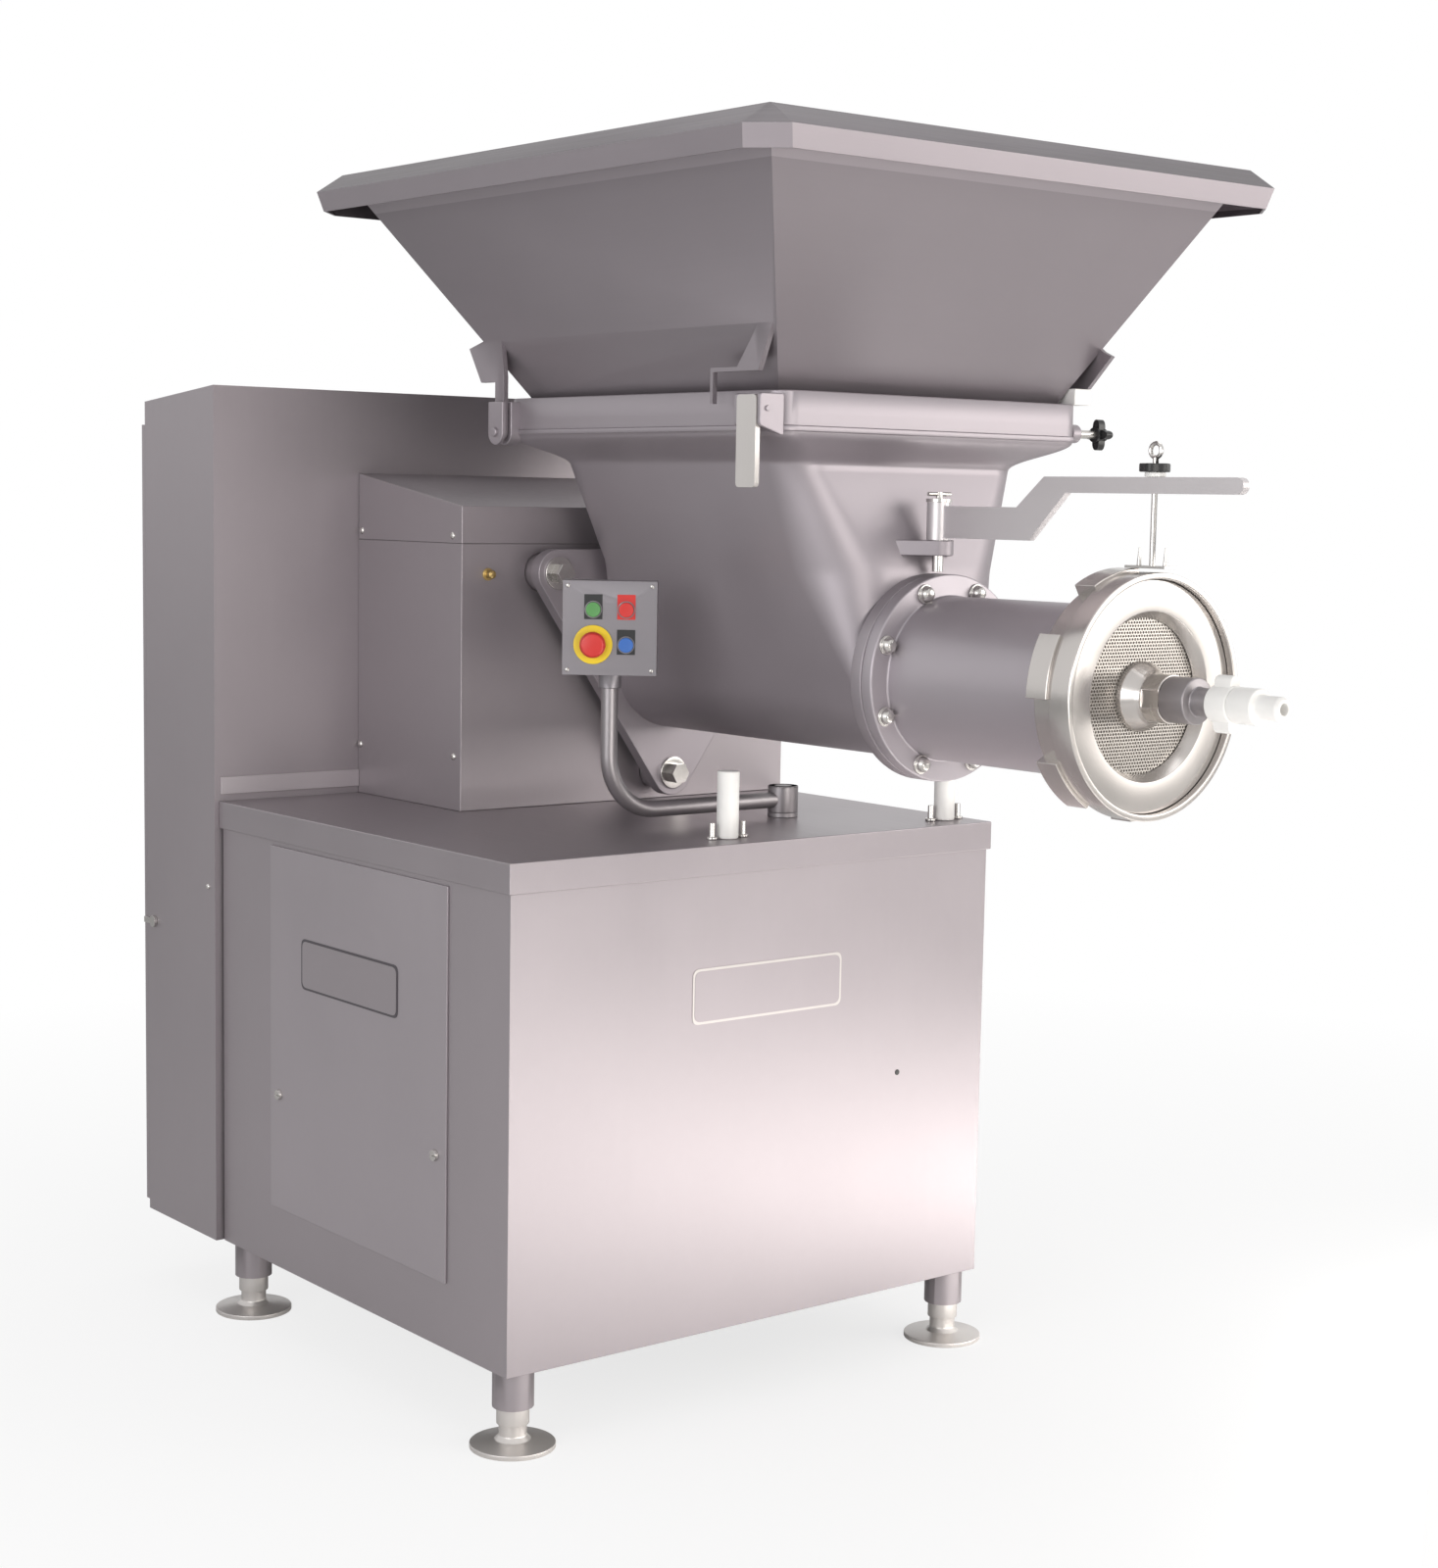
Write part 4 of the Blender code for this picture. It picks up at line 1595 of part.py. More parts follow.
def posts():
    """Two plastic posts on the base top."""
    for side, name in ((-1, "near"), (1, "far")):
        y = side * POST_Y
        post = rod(f"rest_post_{name}", (-POST_X, y, BASE_TOP + GAP), (-POST_X, y, BASE_TOP + POST_HEIGHT),
                   POST_RADIUS)
        paint(WHITE, post)


# Assembly

def assemble():
    """Builds every sub-part and puts each moving one under an empty on its joint's axis."""
    base_frame()
    feet()
    base_cabinet()
    side_door()
    rear_cabinet()
    rear_door()
    rear_latch()
    gearbox_cover()
    gearbox_housing()
    wheel, shaft, pinion = gears()
    upper, lower = drive()
    bowl()
    bowl_bolts()
    barrel()
    posts()
    control_socket()
    carry(pivot("screw_axis", on_axis(0)), wheel, shaft, feed_screw(), knife())
    carry(pivot("input_axis", (-PULLEY_PLANE, 0, INPUT_HEIGHT)), pinion, upper)
    carry(pivot("motor_axis", (-PULLEY_PLANE, 0, MOTOR_HEIGHT)), lower)
    carry(pivot("ring_axis", on_axis(RING_STEP)), cutting_head())
    carry(pivot("valve_axis", on_axis(HANDLE_END)), discharge())
    carry(pivot("hopper_axis", (PIVOT_X, 0, PIVOT_Z)), hopper())
    carry(pivot("lever_axis", (LEVER_X, -LEVER_PIVOT_Y, LEVER_PIVOT_HEIGHT)), clamp_lever())
    carry(pivot("star_axis", (STAR_X, STAR_ROD_END, STAR_HEIGHT)), star_knob())
    arm, pin = ring_arm()
    arm_axis = pivot("arm_axis", (ARM_X, 0, ARM_HUB_BOTTOM))
    carry(arm_axis, arm)
    carry(pivot("arm_pin_axis", (ARM_X, 0, ARM_HUB_TOP)), pin)
    carry(pivot("hanger_axis", (HANGER_X, 0, ARM_HIGH[1]), arm_axis), *hanger())
    swivel = pivot("control_axis", (-CONTROL_X, CONTROL_SOCKET_Y, CONTROL_SOCKET_TOP))
    carry(swivel, control_arm())
    head = pivot("control_box_centre", (-CONTROL_X, -CONTROL_Y, CONTROL_BOX_BOTTOM), swivel)
    fixed, buttons, stop = control_box()
    carry(head, *fixed, *buttons, stop, *[tool for tool in CUTTERS.objects
                                          if tool.name.startswith(("control_box_", "control_panel_",
                                                                   "estop_"))])
    head.rotation_euler.z = radians(CONTROL_YAW)
    bpy.context.view_layer.update()


def centre_on_footprint():
    """Moves the whole machine so that its box stands centred on the origin."""
    graph = bpy.context.evaluated_depsgraph_get()
    corners = [item.matrix_world @ Vector(corner) for item in PARTS.objects if item.type == "MESH"
               for corner in item.evaluated_get(graph).bound_box]
    middle = [(min(corner[i] for corner in corners) + max(corner[i] for corner in corners)) / 2 for i in (0,
                                                                                                          1)]
    root = bpy.data.objects.new("meat_mincer_root", None)
    PARTS.objects.link(root)
    carry(root, *[item for item in (*PARTS.objects,
                                    *CUTTERS.objects) if item.parent is None and item != root])
    root.location = (-middle[0], -middle[1], 0)
    bpy.context.view_layer.update()


assemble()
centre_on_footprint()
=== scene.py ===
"""Meat mincer: its surfaces, finishes, light and camera.

Shapes are given in the machine's own frame: X forward from the base's front face, Y from the
barrel axis with the operator at negative Y, Z up from the floor. SHIFT moves them to the row.
"""
import json
from math import cos, pi, radians, sin

import bmesh
import bpy
import numpy as np
from mathutils import Matrix, Vector


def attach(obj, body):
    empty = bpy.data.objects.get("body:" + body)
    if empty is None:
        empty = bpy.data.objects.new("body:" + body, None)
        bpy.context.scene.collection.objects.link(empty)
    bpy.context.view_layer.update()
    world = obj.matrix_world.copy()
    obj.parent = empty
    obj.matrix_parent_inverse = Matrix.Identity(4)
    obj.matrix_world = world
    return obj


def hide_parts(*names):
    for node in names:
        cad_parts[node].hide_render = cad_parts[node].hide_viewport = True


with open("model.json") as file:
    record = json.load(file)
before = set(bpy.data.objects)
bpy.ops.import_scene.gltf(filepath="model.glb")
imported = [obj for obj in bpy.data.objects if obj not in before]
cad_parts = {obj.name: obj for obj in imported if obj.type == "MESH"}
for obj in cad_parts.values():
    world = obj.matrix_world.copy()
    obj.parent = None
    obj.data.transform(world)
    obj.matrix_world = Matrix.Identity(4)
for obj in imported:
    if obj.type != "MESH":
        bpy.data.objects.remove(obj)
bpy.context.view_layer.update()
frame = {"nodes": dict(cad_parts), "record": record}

SHIFT = np.array([0.1525, 0.07603, 0.0])
AXIS = 1.088
BODY_OF = {node: body for body, nodes in frame["record"]["behaviour"]["bodies"].items() for node in nodes}


# Finishes

class Value:
    """A shader socket with arithmetic: each operator adds one Math node."""

    def __init__(self, finish, socket):
        self.finish = finish
        self.socket = socket

    def _math(self, operation, first, second):
        node = self.finish.node("ShaderNodeMath", {"operation": operation}, {0: first, 1: second})
        return Value(self.finish, node.outputs[0])

    def __add__(self, other):
        return self._math("ADD", self, other)

    def __radd__(self, other):
        return self._math("ADD", other, self)

    def __sub__(self, other):
        return self._math("SUBTRACT", self, other)

    def __rsub__(self, other):
        return self._math("SUBTRACT", other, self)

    def __mul__(self, other):
        return self._math("MULTIPLY", self, other)

    def __rmul__(self, other):
        return self._math("MULTIPLY", other, self)

    def __gt__(self, other):
        return self._math("GREATER_THAN", self, other)

    def nearest(self, other):
        return self._math("MINIMUM", self, other)


class Finish:
    """A material whose nodes are added one by one."""

    def __init__(self, name):
        self.material = bpy.data.materials.new(name)
        self.material.use_nodes = True
        self.tree = self.material.node_tree
        self.shader = self.tree.nodes["Principled BSDF"]
        self.place = Value(self, self.node("ShaderNodeTexCoord").outputs["Object"])

    def node(self, kind, settings=None, sockets=None):
        """A node of a kind, with its settings first and then the values or links of its sockets."""
        node = self.tree.nodes.new(kind)
        for key, setting in (settings or {}).items():
            setattr(node, key, setting)
        self.feed(node, sockets or {})
        return node

    def feed(self, node, sockets):
        for key, given in sockets.items():
            socket = node.inputs[key]
            if isinstance(given, Value):
                self.tree.links.new(given.socket, socket)
            else:
                socket.default_value = given

    def noise(self, scale, detail=2.0, stretch=None):
        """Noise from 0 to 1, its pattern stretched by a factor along each axis."""
        where = self.place
        if stretch is not None:
            mapping = self.node("ShaderNodeMapping", {}, {"Vector": where, "Scale": stretch})
            where = Value(self, mapping.outputs[0])
        node = self.node("ShaderNodeTexNoise", {}, {"Vector": where, "Scale": scale, "Detail": detail})
        return Value(self, node.outputs[0])

    def blend(self, share, low, high):
        """A colour between two colours."""
        node = self.node("ShaderNodeMix", {"data_type": "RGBA"}, {0: share, 6: low, 7: high})
        return Value(self, node.outputs[2])

    def mottle(self, share, colour, darker, paler):
        """A colour from a little darker to a little paler."""
        return self.blend(share, shade(colour, 1 - darker), shade(colour, 1 + paler))

    def bump(self, height, strength, distance):
        node = self.node("ShaderNodeBump", {}, {"Height": height, "Strength": strength, "Distance": distance})
        return Value(self, node.outputs[0])

    def done(self, **sockets):
        self.feed(self.shader, {key.replace("_", " "): given for key, given in sockets.items()})
        return self.material


def shade(colour, factor):
    return (*[channel * factor for channel in colour], 1)


def varied(level, *swings):
    """A level that swings with each noise, which lies round one half."""
    for noise, swing in swings:
        level = level + (noise - 0.5) * swing
    return level


def satin(name, colour, roughness, metallic, grain, contrast=0.10, lines=0.10):
    """Brushed sheet: grain lines along the axis with the small factor, over slow clouds."""
    made = Finish(name)
    streak = made.noise(scale=1.0, stretch=grain)
    cloud = made.noise(scale=2.6, detail=3.0)
    speck = made.noise(scale=55.0)
    tone = cloud * 0.7 + streak * 0.2 + speck * 0.1
    return made.done(Base_Color=made.mottle(tone, colour, contrast, contrast),
                     Roughness=varied(roughness, (streak, 0.14), (cloud, 0.12)),
                     Metallic=metallic,
                     Normal=made.bump(streak * 0.7 + speck * 0.3, lines, 0.0004))


def hopper_sheet_with_painted_light(name, colour, roughness, metallic, grain, band):
    """Brushed sheet whose fascia, above a height, carries painted light: a painted highlight makes its
    upright face paler and painted shade makes its top darker.
    """
    made = Finish(name)
    streak = made.noise(scale=1.0, stretch=grain)
    cloud = made.noise(scale=2.6, detail=3.0)
    sheet = made.mottle(cloud * 0.75 + streak * 0.25, colour, 0.09, 0.09)
    parts = made.node("ShaderNodeSeparateXYZ", {}, {0: made.place})
    facing = made.node("ShaderNodeNewGeometry")
    slope = made.node("ShaderNodeSeparateXYZ", {}, {0: Value(made, facing.outputs["Normal"])})
    high = Value(made, parts.outputs[2]) > band
    # Painted highlight: the fascia above the height is made paler, as if light were catching its upright
    # face.
    painted_fascia_highlight = made.blend(high * 0.85, sheet, shade(colour, 1.30))
    # Painted shade: the fascia's upward-facing top is made darker.
    painted_top_shade = high * (Value(made, slope.outputs[2]) > 0.25)
    return made.done(Base_Color=made.blend(painted_top_shade, painted_fascia_highlight, shade(colour, 0.42)),
                     Roughness=varied(roughness, (streak, 0.14), (cloud, 0.12)) + painted_top_shade * 0.12,
                     Metallic=metallic,
                     Normal=made.bump(streak, 0.10, 0.0004))


def blasted(name, colour, roughness, metallic):
    """A fine matt casting with faint ripples from the mould."""
    made = Finish(name)
    grit = made.noise(scale=900.0)
    ripple = made.noise(scale=14.0)
    cloud = made.noise(scale=4.0, detail=3.0)
    return made.done(Base_Color=made.mottle(cloud * 0.75 + grit * 0.25, colour, 0.12, 0.12),
                     Roughness=varied(roughness, (grit, 0.10), (cloud, 0.10)),
                     Metallic=metallic,
                     Normal=made.bump(ripple * 0.8 + grit * 0.2, 0.10, 0.0012))


def moulded(name, colour, roughness, grain=0.10):
    """Moulded plastic or rubber with a fine skin."""
    made = Finish(name)
    skin = made.noise(scale=700.0)
    cloud = made.noise(scale=30.0)
    return made.done(Base_Color=made.mottle(cloud, colour, 0.08, 0.06),
                     Roughness=varied(roughness, (skin, 0.12)),
                     Normal=made.bump(skin, grain, 0.0002))


# Grain factors along X, Y and Z: small along the brushing
UPRIGHT = (500.0, 500.0, 5.0)
LENGTHWISE = (5.0, 60.0, 500.0)
EVEN = (300.0, 300.0, 300.0)
BAR = (5.0, 5.0, 260.0)
FASCIA_FOOT = 1.782
MAUVE = (0.345, 0.312, 0.330)
SHEET_UP = satin("brushed_sheet_upright", MAUVE, 0.40, 0.60, UPRIGHT)
DOOR = satin("brushed_sheet_door", (0.385, 0.350, 0.372), 0.40, 0.60, UPRIGHT)
SHEET_ALONG = satin("brushed_sheet_lengthwise", MAUVE, 0.38, 0.60, LENGTHWISE)
SHEET_TOP = satin("brushed_sheet_cover", MAUVE, 0.36, 0.68, (5.0, 500.0, 500.0), 0.12)
HOPPER_SHEET = hopper_sheet_with_painted_light("brushed_sheet_hopper_painted_light", (0.300, 0.270, 0.290), 0.38, 0.70, (6.0, 6.0, 420.0),
                            FASCIA_FOOT)
LEG = satin("polished_leg", (0.62, 0.59, 0.57), 0.34, 0.55, (200.0, 200.0, 8.0), 0.14)
PIPE = satin("satin_tube", (0.29, 0.27, 0.28), 0.40, 0.8, (160.0, 160.0, 160.0), 0.10)
ARM = satin("satin_bar", (0.62, 0.59, 0.60), 0.40, 0.65, BAR, 0.10)
CASTING = blasted("blasted_casting", (0.360, 0.326, 0.350), 0.44, 0.62)
BARREL_SKIN = satin("turned_barrel", (0.420, 0.385, 0.412), 0.42, 0.62, (520.0, 10.0, 10.0), 0.07)
POLISHED = satin("polished_ring", (0.56, 0.53, 0.51), 0.24, 0.90, (260.0, 6.0, 6.0), 0.06, 0.02)
TURNED = satin("turned_fitting", (0.56, 0.54, 0.52), 0.22, 0.95, (500.0, 30.0, 30.0), 0.08, 0.06)
SCREEN = satin("plate_steel", (0.50, 0.47, 0.44), 0.30, 0.80, EVEN, 0.08, 0.03)
# Plate borders: painted shade along the edge of the plate on the shaded side, and a painted highlight along
# the edge of the plate on the lit front.
PAINTED_EDGE_SHADE = satin("plate_edge_painted_shade", (0.10, 0.09, 0.10), 0.40, 0.5, EVEN)
PAINTED_EDGE_HIGHLIGHT = satin("plate_edge_painted_highlight", (0.52, 0.49, 0.48), 0.40, 0.6, EVEN)
PANEL = satin("control_panel_sheet", (0.235, 0.220, 0.235), 0.38, 0.7, BAR, 0.08)
HOUSING = blasted("housing_casting", (0.34, 0.31, 0.325), 0.36, 0.7)
STRIP = satin("joint_strip", (0.52, 0.48, 0.50), 0.34, 0.6, LENGTHWISE)
GEAR = blasted("machined_gear", (0.22, 0.22, 0.23), 0.35, 0.9)
PAINT = moulded("satin_paint", (0.16, 0.20, 0.24), 0.45, 0.15)
WHITE = moulded("white_plastic", (0.92, 0.91, 0.89), 0.42)
BLACK = moulded("black_plastic", (0.016, 0.016, 0.017), 0.36)
RUBBER = moulded("belt_rubber", (0.030, 0.030, 0.030), 0.75, 0.3)
GREEN = moulded("green_button", (0.10, 0.30, 0.09), 0.30)
RED = moulded("red_button", (0.62, 0.035, 0.030), 0.32)
BLUE = moulded("blue_button", (0.045, 0.15, 0.48), 0.30)
YELLOW = moulded("yellow_disc", (0.83, 0.60, 0.02), 0.38)
BRASS = satin("brass_screw", (0.55, 0.40, 0.16), 0.30, 0.95, EVEN, 0.12)


# Forms: each is a pair of points and faces

FORWARD = (1, 0, 0)
FARWARD = (0, 1, 0)
NEARWARD = (0, -1, 0)
UPWARD = (0, 0, 1)
TINY = 1e-9
CORNER_SHARE = 0.45
MERGE = 0.000002
DRESS_MERGE = 0.00001
DRESS_FLAT = radians(0.6)
CELL_CORNERS = 12
CELL_SHARE = 0.999
CELL_ROOT = 0.001


def rod(radius, low, high):
    """A profile of a solid cylinder."""
    return [(0, low), (radius, low), (radius, high), (0, high)]


def tube(inner, outer, low, high):
    """A profile of a hollow cylinder."""
    return [(inner, low), (outer, low), (outer, high), (inner, high)]


def lobed(centre, mean, swing, count, steps):
    """A round outline with lobes: its radius is the mean plus the swing times a cosine."""
    angle = np.radians(np.linspace(0, 360, steps, endpoint=False))
    radius = mean + swing * np.cos(count * angle)
    return np.stack([centre[0] + radius * np.cos(angle), centre[1] + radius * np.sin(angle)], axis=1)


def axes_along(direction):
    """Three unit vectors, the last one along a direction."""
    along = np.array(direction, float)
    along /= np.linalg.norm(along)
    side = np.cross(UPWARD, along) if abs(along[2]) < 0.9 else np.array(FORWARD, float)
    side /= np.linalg.norm(side)
    return side, np.cross(along, side), along


def grid(points, wrap_rows=False, wrap_columns=True, caps=False):
    """Quads between neighbouring rows and columns of an array of points."""
    rows, columns = points.shape[:2]
    index = np.arange(rows * columns).reshape(rows, columns)
    if wrap_rows:
        index = np.vstack([index, index[:1]])
    if wrap_columns:
        index = np.hstack([index, index[:, :1]])
    quads = np.stack([index[:-1, :-1], index[:-1, 1:], index[1:, 1:], index[1:, :-1]], axis=-1)
    faces = quads.reshape(-1, 4).tolist()
    if caps:
        faces += [list(range(columns)), list(range((rows - 1) * columns, rows * columns))]
    return points.reshape(-1, 3), faces


def eased(outline, radius, closed=True, steps=4):
    """Every corner replaced by a parabola from and to points at most a radius away from it."""
    points = np.array(outline, float)
    before = np.roll(points, 1, axis=0)
    after = np.roll(points, -1, axis=0)
    reach_before = np.linalg.norm(before - points, axis=1, keepdims=True)
    reach_after = np.linalg.norm(after - points, axis=1, keepdims=True)
    start = points + (before - points) * np.minimum(CORNER_SHARE, radius / np.maximum(reach_before, TINY))
    end = points + (after - points) * np.minimum(CORNER_SHARE, radius / np.maximum(reach_after, TINY))
    t = np.linspace(0, 1, steps + 1)[None, :, None]
    curve = start[:, None] * (1 - t) ** 2 + points[:, None] * 2 * t * (1 - t) + end[:, None] * t ** 2
    if closed:
        return curve.reshape(-1, points.shape[1])
    return np.vstack([points[:1], curve[1:-1].reshape(-1, points.shape[1]), points[-1:]])


def revolve(profile, base, direction, ease=0.0008, steps=72):
    """A profile of (radius, height) turned about a line: radius times the circle, plus the height."""
    bored = min(radius for radius, _ in profile) > 0
    outline = eased(profile, ease, bored)
    side, other, along = axes_along(direction)
    angle = np.linspace(0, 2 * pi, steps, endpoint=False)[None, :, None]
    circle = np.cos(angle) * side + np.sin(angle) * other
    points = np.array(base) + outline[:, None, :1] * circle + outline[:, None, 1:] * along
    return grid(points, wrap_rows=bored)


def on_barrel(profile, ease=0.0008, steps=72):
    return revolve(profile, (0, 0, AXIS), FORWARD, ease, steps)


def extrude(outline, low, high, axis):
    """An outline moved along an axis from one height to another."""
    flat = np.array(outline, float)
    order = {"x": (2, 0, 1), "y": (0, 2, 1), "z": (0, 1, 2)}[axis]
    ends = np.array([low, high])[:, None]
    stack = [np.broadcast_to(flat[:, 0], (2, len(flat))), np.broadcast_to(flat[:, 1], (2, len(flat))),
             np.broadcast_to(ends, (2, len(flat)))]
    points = np.stack([stack[i] for i in order], axis=-1)
    return grid(points, caps=True)


def block(low, high):
    (x0, y0, z0), (x1, y1, z1) = low, high
    return extrude([(x0, y0), (x1, y0), (x1, y1), (x0, y1)], z0, z1, "z")


def hull(discs, steps=96):
    """The outline round discs of (across, up, radius): the furthest disc's edge in each direction."""
    discs = np.array(discs, float)
    angle = np.linspace(0, 2 * pi, steps, endpoint=False)
    ray = np.stack([np.cos(angle), np.sin(angle)], axis=1)
    chosen = discs[np.argmax(ray @ discs[:, :2].T + discs[:, 2], axis=1)]
    return chosen[:, :2] + ray * chosen[:, 2:]


def sweep(path, radius, steps=32):
    """A circle carried along a path, square to it at every point."""
    path = np.array(path, float)
    heading = np.gradient(path, axis=0)
    heading /= np.linalg.norm(heading, axis=1, keepdims=True)
    side = np.cross(heading, FORWARD)
    side /= np.linalg.norm(side, axis=1, keepdims=True)
    other = np.cross(heading, side)
    angle = np.linspace(0, 2 * pi, steps, endpoint=False)[None, :, None]
    points = path[:, None] + radius * (np.cos(angle) * side[:, None] + np.sin(angle) * other[:, None])
    return grid(points, caps=True)


def drilled(pitch, radius, inner, outer, front, depth):
    """Six-sided cells of a triangular lattice between two radii, each a closed prism with a blind
    round hole: rings of twelve points run from the back's edge to the front's, then to the hole's
    mouth and down to its floor."""
    span = 2 * int(outer / pitch) + 3
    i, j = np.meshgrid(np.arange(-span, span + 1), np.arange(-span, span + 1))
    centres = np.stack([(i + j / 2).ravel(), (j * 3 ** 0.5 / 2).ravel()], axis=1) * pitch
    reach = np.hypot(centres[:, 0], centres[:, 1])
    centres = centres[(inner < reach) & (reach < outer)]
    corner = np.arange(CELL_CORNERS)
    cell = np.where(corner % 2, pitch / 3 ** 0.5, pitch / 2) * CELL_SHARE
    mouth = np.full(CELL_CORNERS, radius)
    rings = [(cell, front - depth - CELL_ROOT), (cell, front), (mouth, front), (mouth, front - depth)]
    angle = corner * 2 * pi / CELL_CORNERS
    unit = np.stack([np.stack([np.full(CELL_CORNERS, x), size * np.cos(angle), size * np.sin(angle)], axis=1)
                     for size, x in rings])
    flat = np.column_stack([np.zeros(len(centres)), centres[:, 0], centres[:, 1] + AXIS])
    cell_points, cell_faces = grid(unit, caps=True)
    faces = [[point + len(cell_points) * k for point in face] for k in range(len(centres))
             for face in cell_faces]
    return (flat[:, None] + cell_points).reshape(-1, 3), faces


def swung(form, centre, degrees):
    """A form turned about an upright line."""
    points, faces = form
    angle = radians(degrees)
    turn = np.array([[cos(angle), -sin(angle), 0], [sin(angle), cos(angle), 0], [0, 0, 1]])
    middle = np.array(centre)
    return (points - middle) @ turn.T + middle, faces


def meshed(name, forms):
    """A mesh of forms moved to the row, its doubles merged and its faces turned outward."""
    bm = bmesh.new()
    for points, faces in forms:
        verts = [bm.verts.new(point) for point in (points + SHIFT).tolist()]
        for face in faces:
            bm.faces.new([verts[i] for i in face])
    bmesh.ops.remove_doubles(bm, verts=bm.verts, dist=MERGE)
    bmesh.ops.recalc_face_normals(bm, faces=bm.faces)
    mesh = bpy.data.meshes.new(name)
    bm.to_mesh(mesh)
    bm.free()
    return mesh


def linked(name, data):
    item = bpy.data.objects.new(name, data)
    bpy.context.scene.collection.objects.link(item)
    return item


def cutter(name, form):
    return linked(name, meshed(name, [form]))


def piece(name, forms, material, body, stands_for=(), bevel=0.0, angle=34, cutters=()):
    """One object from several forms, smooth but for its sharp edges, on its body."""
    return placed(name, meshed(name, forms), material, body, stands_for, bevel, angle, cutters)


def placed(name, mesh, material, body, stands_for, bevel, angle, cutters=()):
    item = linked(name, mesh)
    for opening in cutters:
        change = item.modifiers.new("opening", "BOOLEAN")
        change.operation = "DIFFERENCE"
        change.solver = "EXACT"
        change.object = opening
    if cutters:
        graph = bpy.context.evaluated_depsgraph_get()
        item.data = bpy.data.meshes.new_from_object(item.evaluated_get(graph))
        item.modifiers.clear()
        for opening in cutters:
            bpy.data.objects.remove(opening, do_unlink=True)
    mesh = item.data
    mesh.materials.clear()
    mesh.materials.append(material)
    mesh.shade_smooth()
    mesh.set_sharp_from_angle(angle=radians(angle))
    if bevel:
        edge = item.modifiers.new("edges", "BEVEL")
        edge.width = bevel
        edge.segments = 2
        edge.limit_method = "ANGLE"
        edge.angle_limit = radians(angle)
        edge.harden_normals = True
    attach(item, body)
    if stands_for:
        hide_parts(*stands_for)
    return item


def dress(node, material, bevel=0.0, angle=34):
    """A node's own shape with its doubles merged, its flats joined and its edges eased."""
    mesh = frame["nodes"][node].data.copy()
    bm = bmesh.new()
    bm.from_mesh(mesh)
    bmesh.ops.remove_doubles(bm, verts=bm.verts, dist=DRESS_MERGE)
    bmesh.ops.dissolve_limit(bm, angle_limit=DRESS_FLAT, verts=bm.verts, edges=bm.edges)
    bm.to_mesh(mesh)
    bm.free()
    return placed(f"{node}_skin", mesh, material, BODY_OF[node], (node,), bevel, angle)


# Sheet metal and inner parts that keep their own shapes

for node, material, bevel in (
        ("base_frame", SHEET_UP, 0.0), ("base_cabinet", SHEET_UP, 0.0015), ("base_cover", SHEET_TOP, 0.0020),
        ("side_door", DOOR, 0.0010), ("rear_cabinet", SHEET_UP, 0.0012), ("rear_door", SHEET_UP, 0.0010),
        ("cover_joint_strip", STRIP, 0.0006), ("gearbox_cover", SHEET_UP, 0.0010),
        ("gearbox_cover_lid", SHEET_ALONG, 0.0010), ("hopper", HOPPER_SHEET, 0.0009),
        ("clamp_lever", LEG, 0.0014), ("hopper_pad", WHITE, 0.0015), ("ring_arm", ARM, 0.0010),
        ("control_box", PANEL, 0.0010), ("control_panel", PANEL, 0.0008), ("control_socket", PIPE, 0.0006),
        ("gearbox_housing", HOUSING, 0.0), ("motor", PAINT, 0.0), ("hanger_plate", TURNED, 0.0005),
        ("side_door_fastener_front", TURNED, 0.0003), ("side_door_fastener_rear", TURNED, 0.0003),
        ("rear_door_latch", TURNED, 0.0006), ("bowl_bolt_near", TURNED, 0.0008),
        ("bowl_bolt_far", TURNED, 0.0008), ("bowl_bolt_lower", TURNED, 0.0008), ("arm_pin", TURNED, 0.0006),
        ("hanger_rod", TURNED, 0.0)):
    dress(node, material, bevel)
for node, material in (("output_gear", GEAR), ("input_pinion", GEAR), ("gearbox_pulley", GEAR),
                       ("motor_pulley", GEAR), ("output_shaft", TURNED), ("drive_belt", RUBBER),
                       ("feed_screw", POLISHED), ("knife", POLISHED)):
    dress(node, material)


# Feet

FOOT_X = {"front": -0.040, "rear": -0.803}
FOOT_Y = {"near": -0.603, "far": 0.232}
FOOT_TOP = 0.105
FOOT_STEM = 0.020
FOOT_COLLAR = 0.0235
FOOT_COLLAR_LOW = 0.0347
FOOT_COLLAR_HIGH = 0.0597
FOOT_DISC = 0.0615
FOOT_DISC_EDGE = 0.007
FOOT_NECK = (0.026, 0.0115)
FOOT_NECK_TOP = 0.018

foot = [(0, FOOT_TOP), (FOOT_STEM, FOOT_TOP), (FOOT_STEM, FOOT_COLLAR_HIGH), (FOOT_COLLAR, FOOT_COLLAR_HIGH),
        (FOOT_COLLAR, FOOT_COLLAR_LOW), (FOOT_STEM, FOOT_COLLAR_LOW), (FOOT_STEM, FOOT_NECK_TOP), FOOT_NECK,
        (FOOT_DISC, FOOT_DISC_EDGE), (FOOT_DISC, 0.0), (0, 0.0)]
for end, x in FOOT_X.items():
    for side, y in FOOT_Y.items():
        node = f"foot_{end}_{side}"
        piece(f"{node}_turned", [revolve(foot, (x, y, 0), UPWARD, 0.0012)], LEG, "machine",
              (node,))


# Bowl

WALL_DEGREES = 18.4
WALL_SLOPE = radians(WALL_DEGREES)
TROUGH = 0.122
BOWL_WALL = 0.010
RIM_WALL = 0.012
BOWL_BACK = 0.495
NECK_TOP = 1.391
OGEE_RISE = 0.045
# Heights up the wall, with the front's place and the corners' radius at each
WALL_HEIGHTS = (0.95, 1.0495, 1.10, 1.239, NECK_TOP)
WALL_FRONTS = (0.140, 0.140, 0.140, 0.133, 0.091)
WALL_CORNERS = (0.003, 0.020, 0.045, 0.100, 0.060)
RIM_BACK = 0.537
RIM_FRONT = 0.143
RIM_HALF_WIDTH = 0.298
RIM_CORNER = 0.034
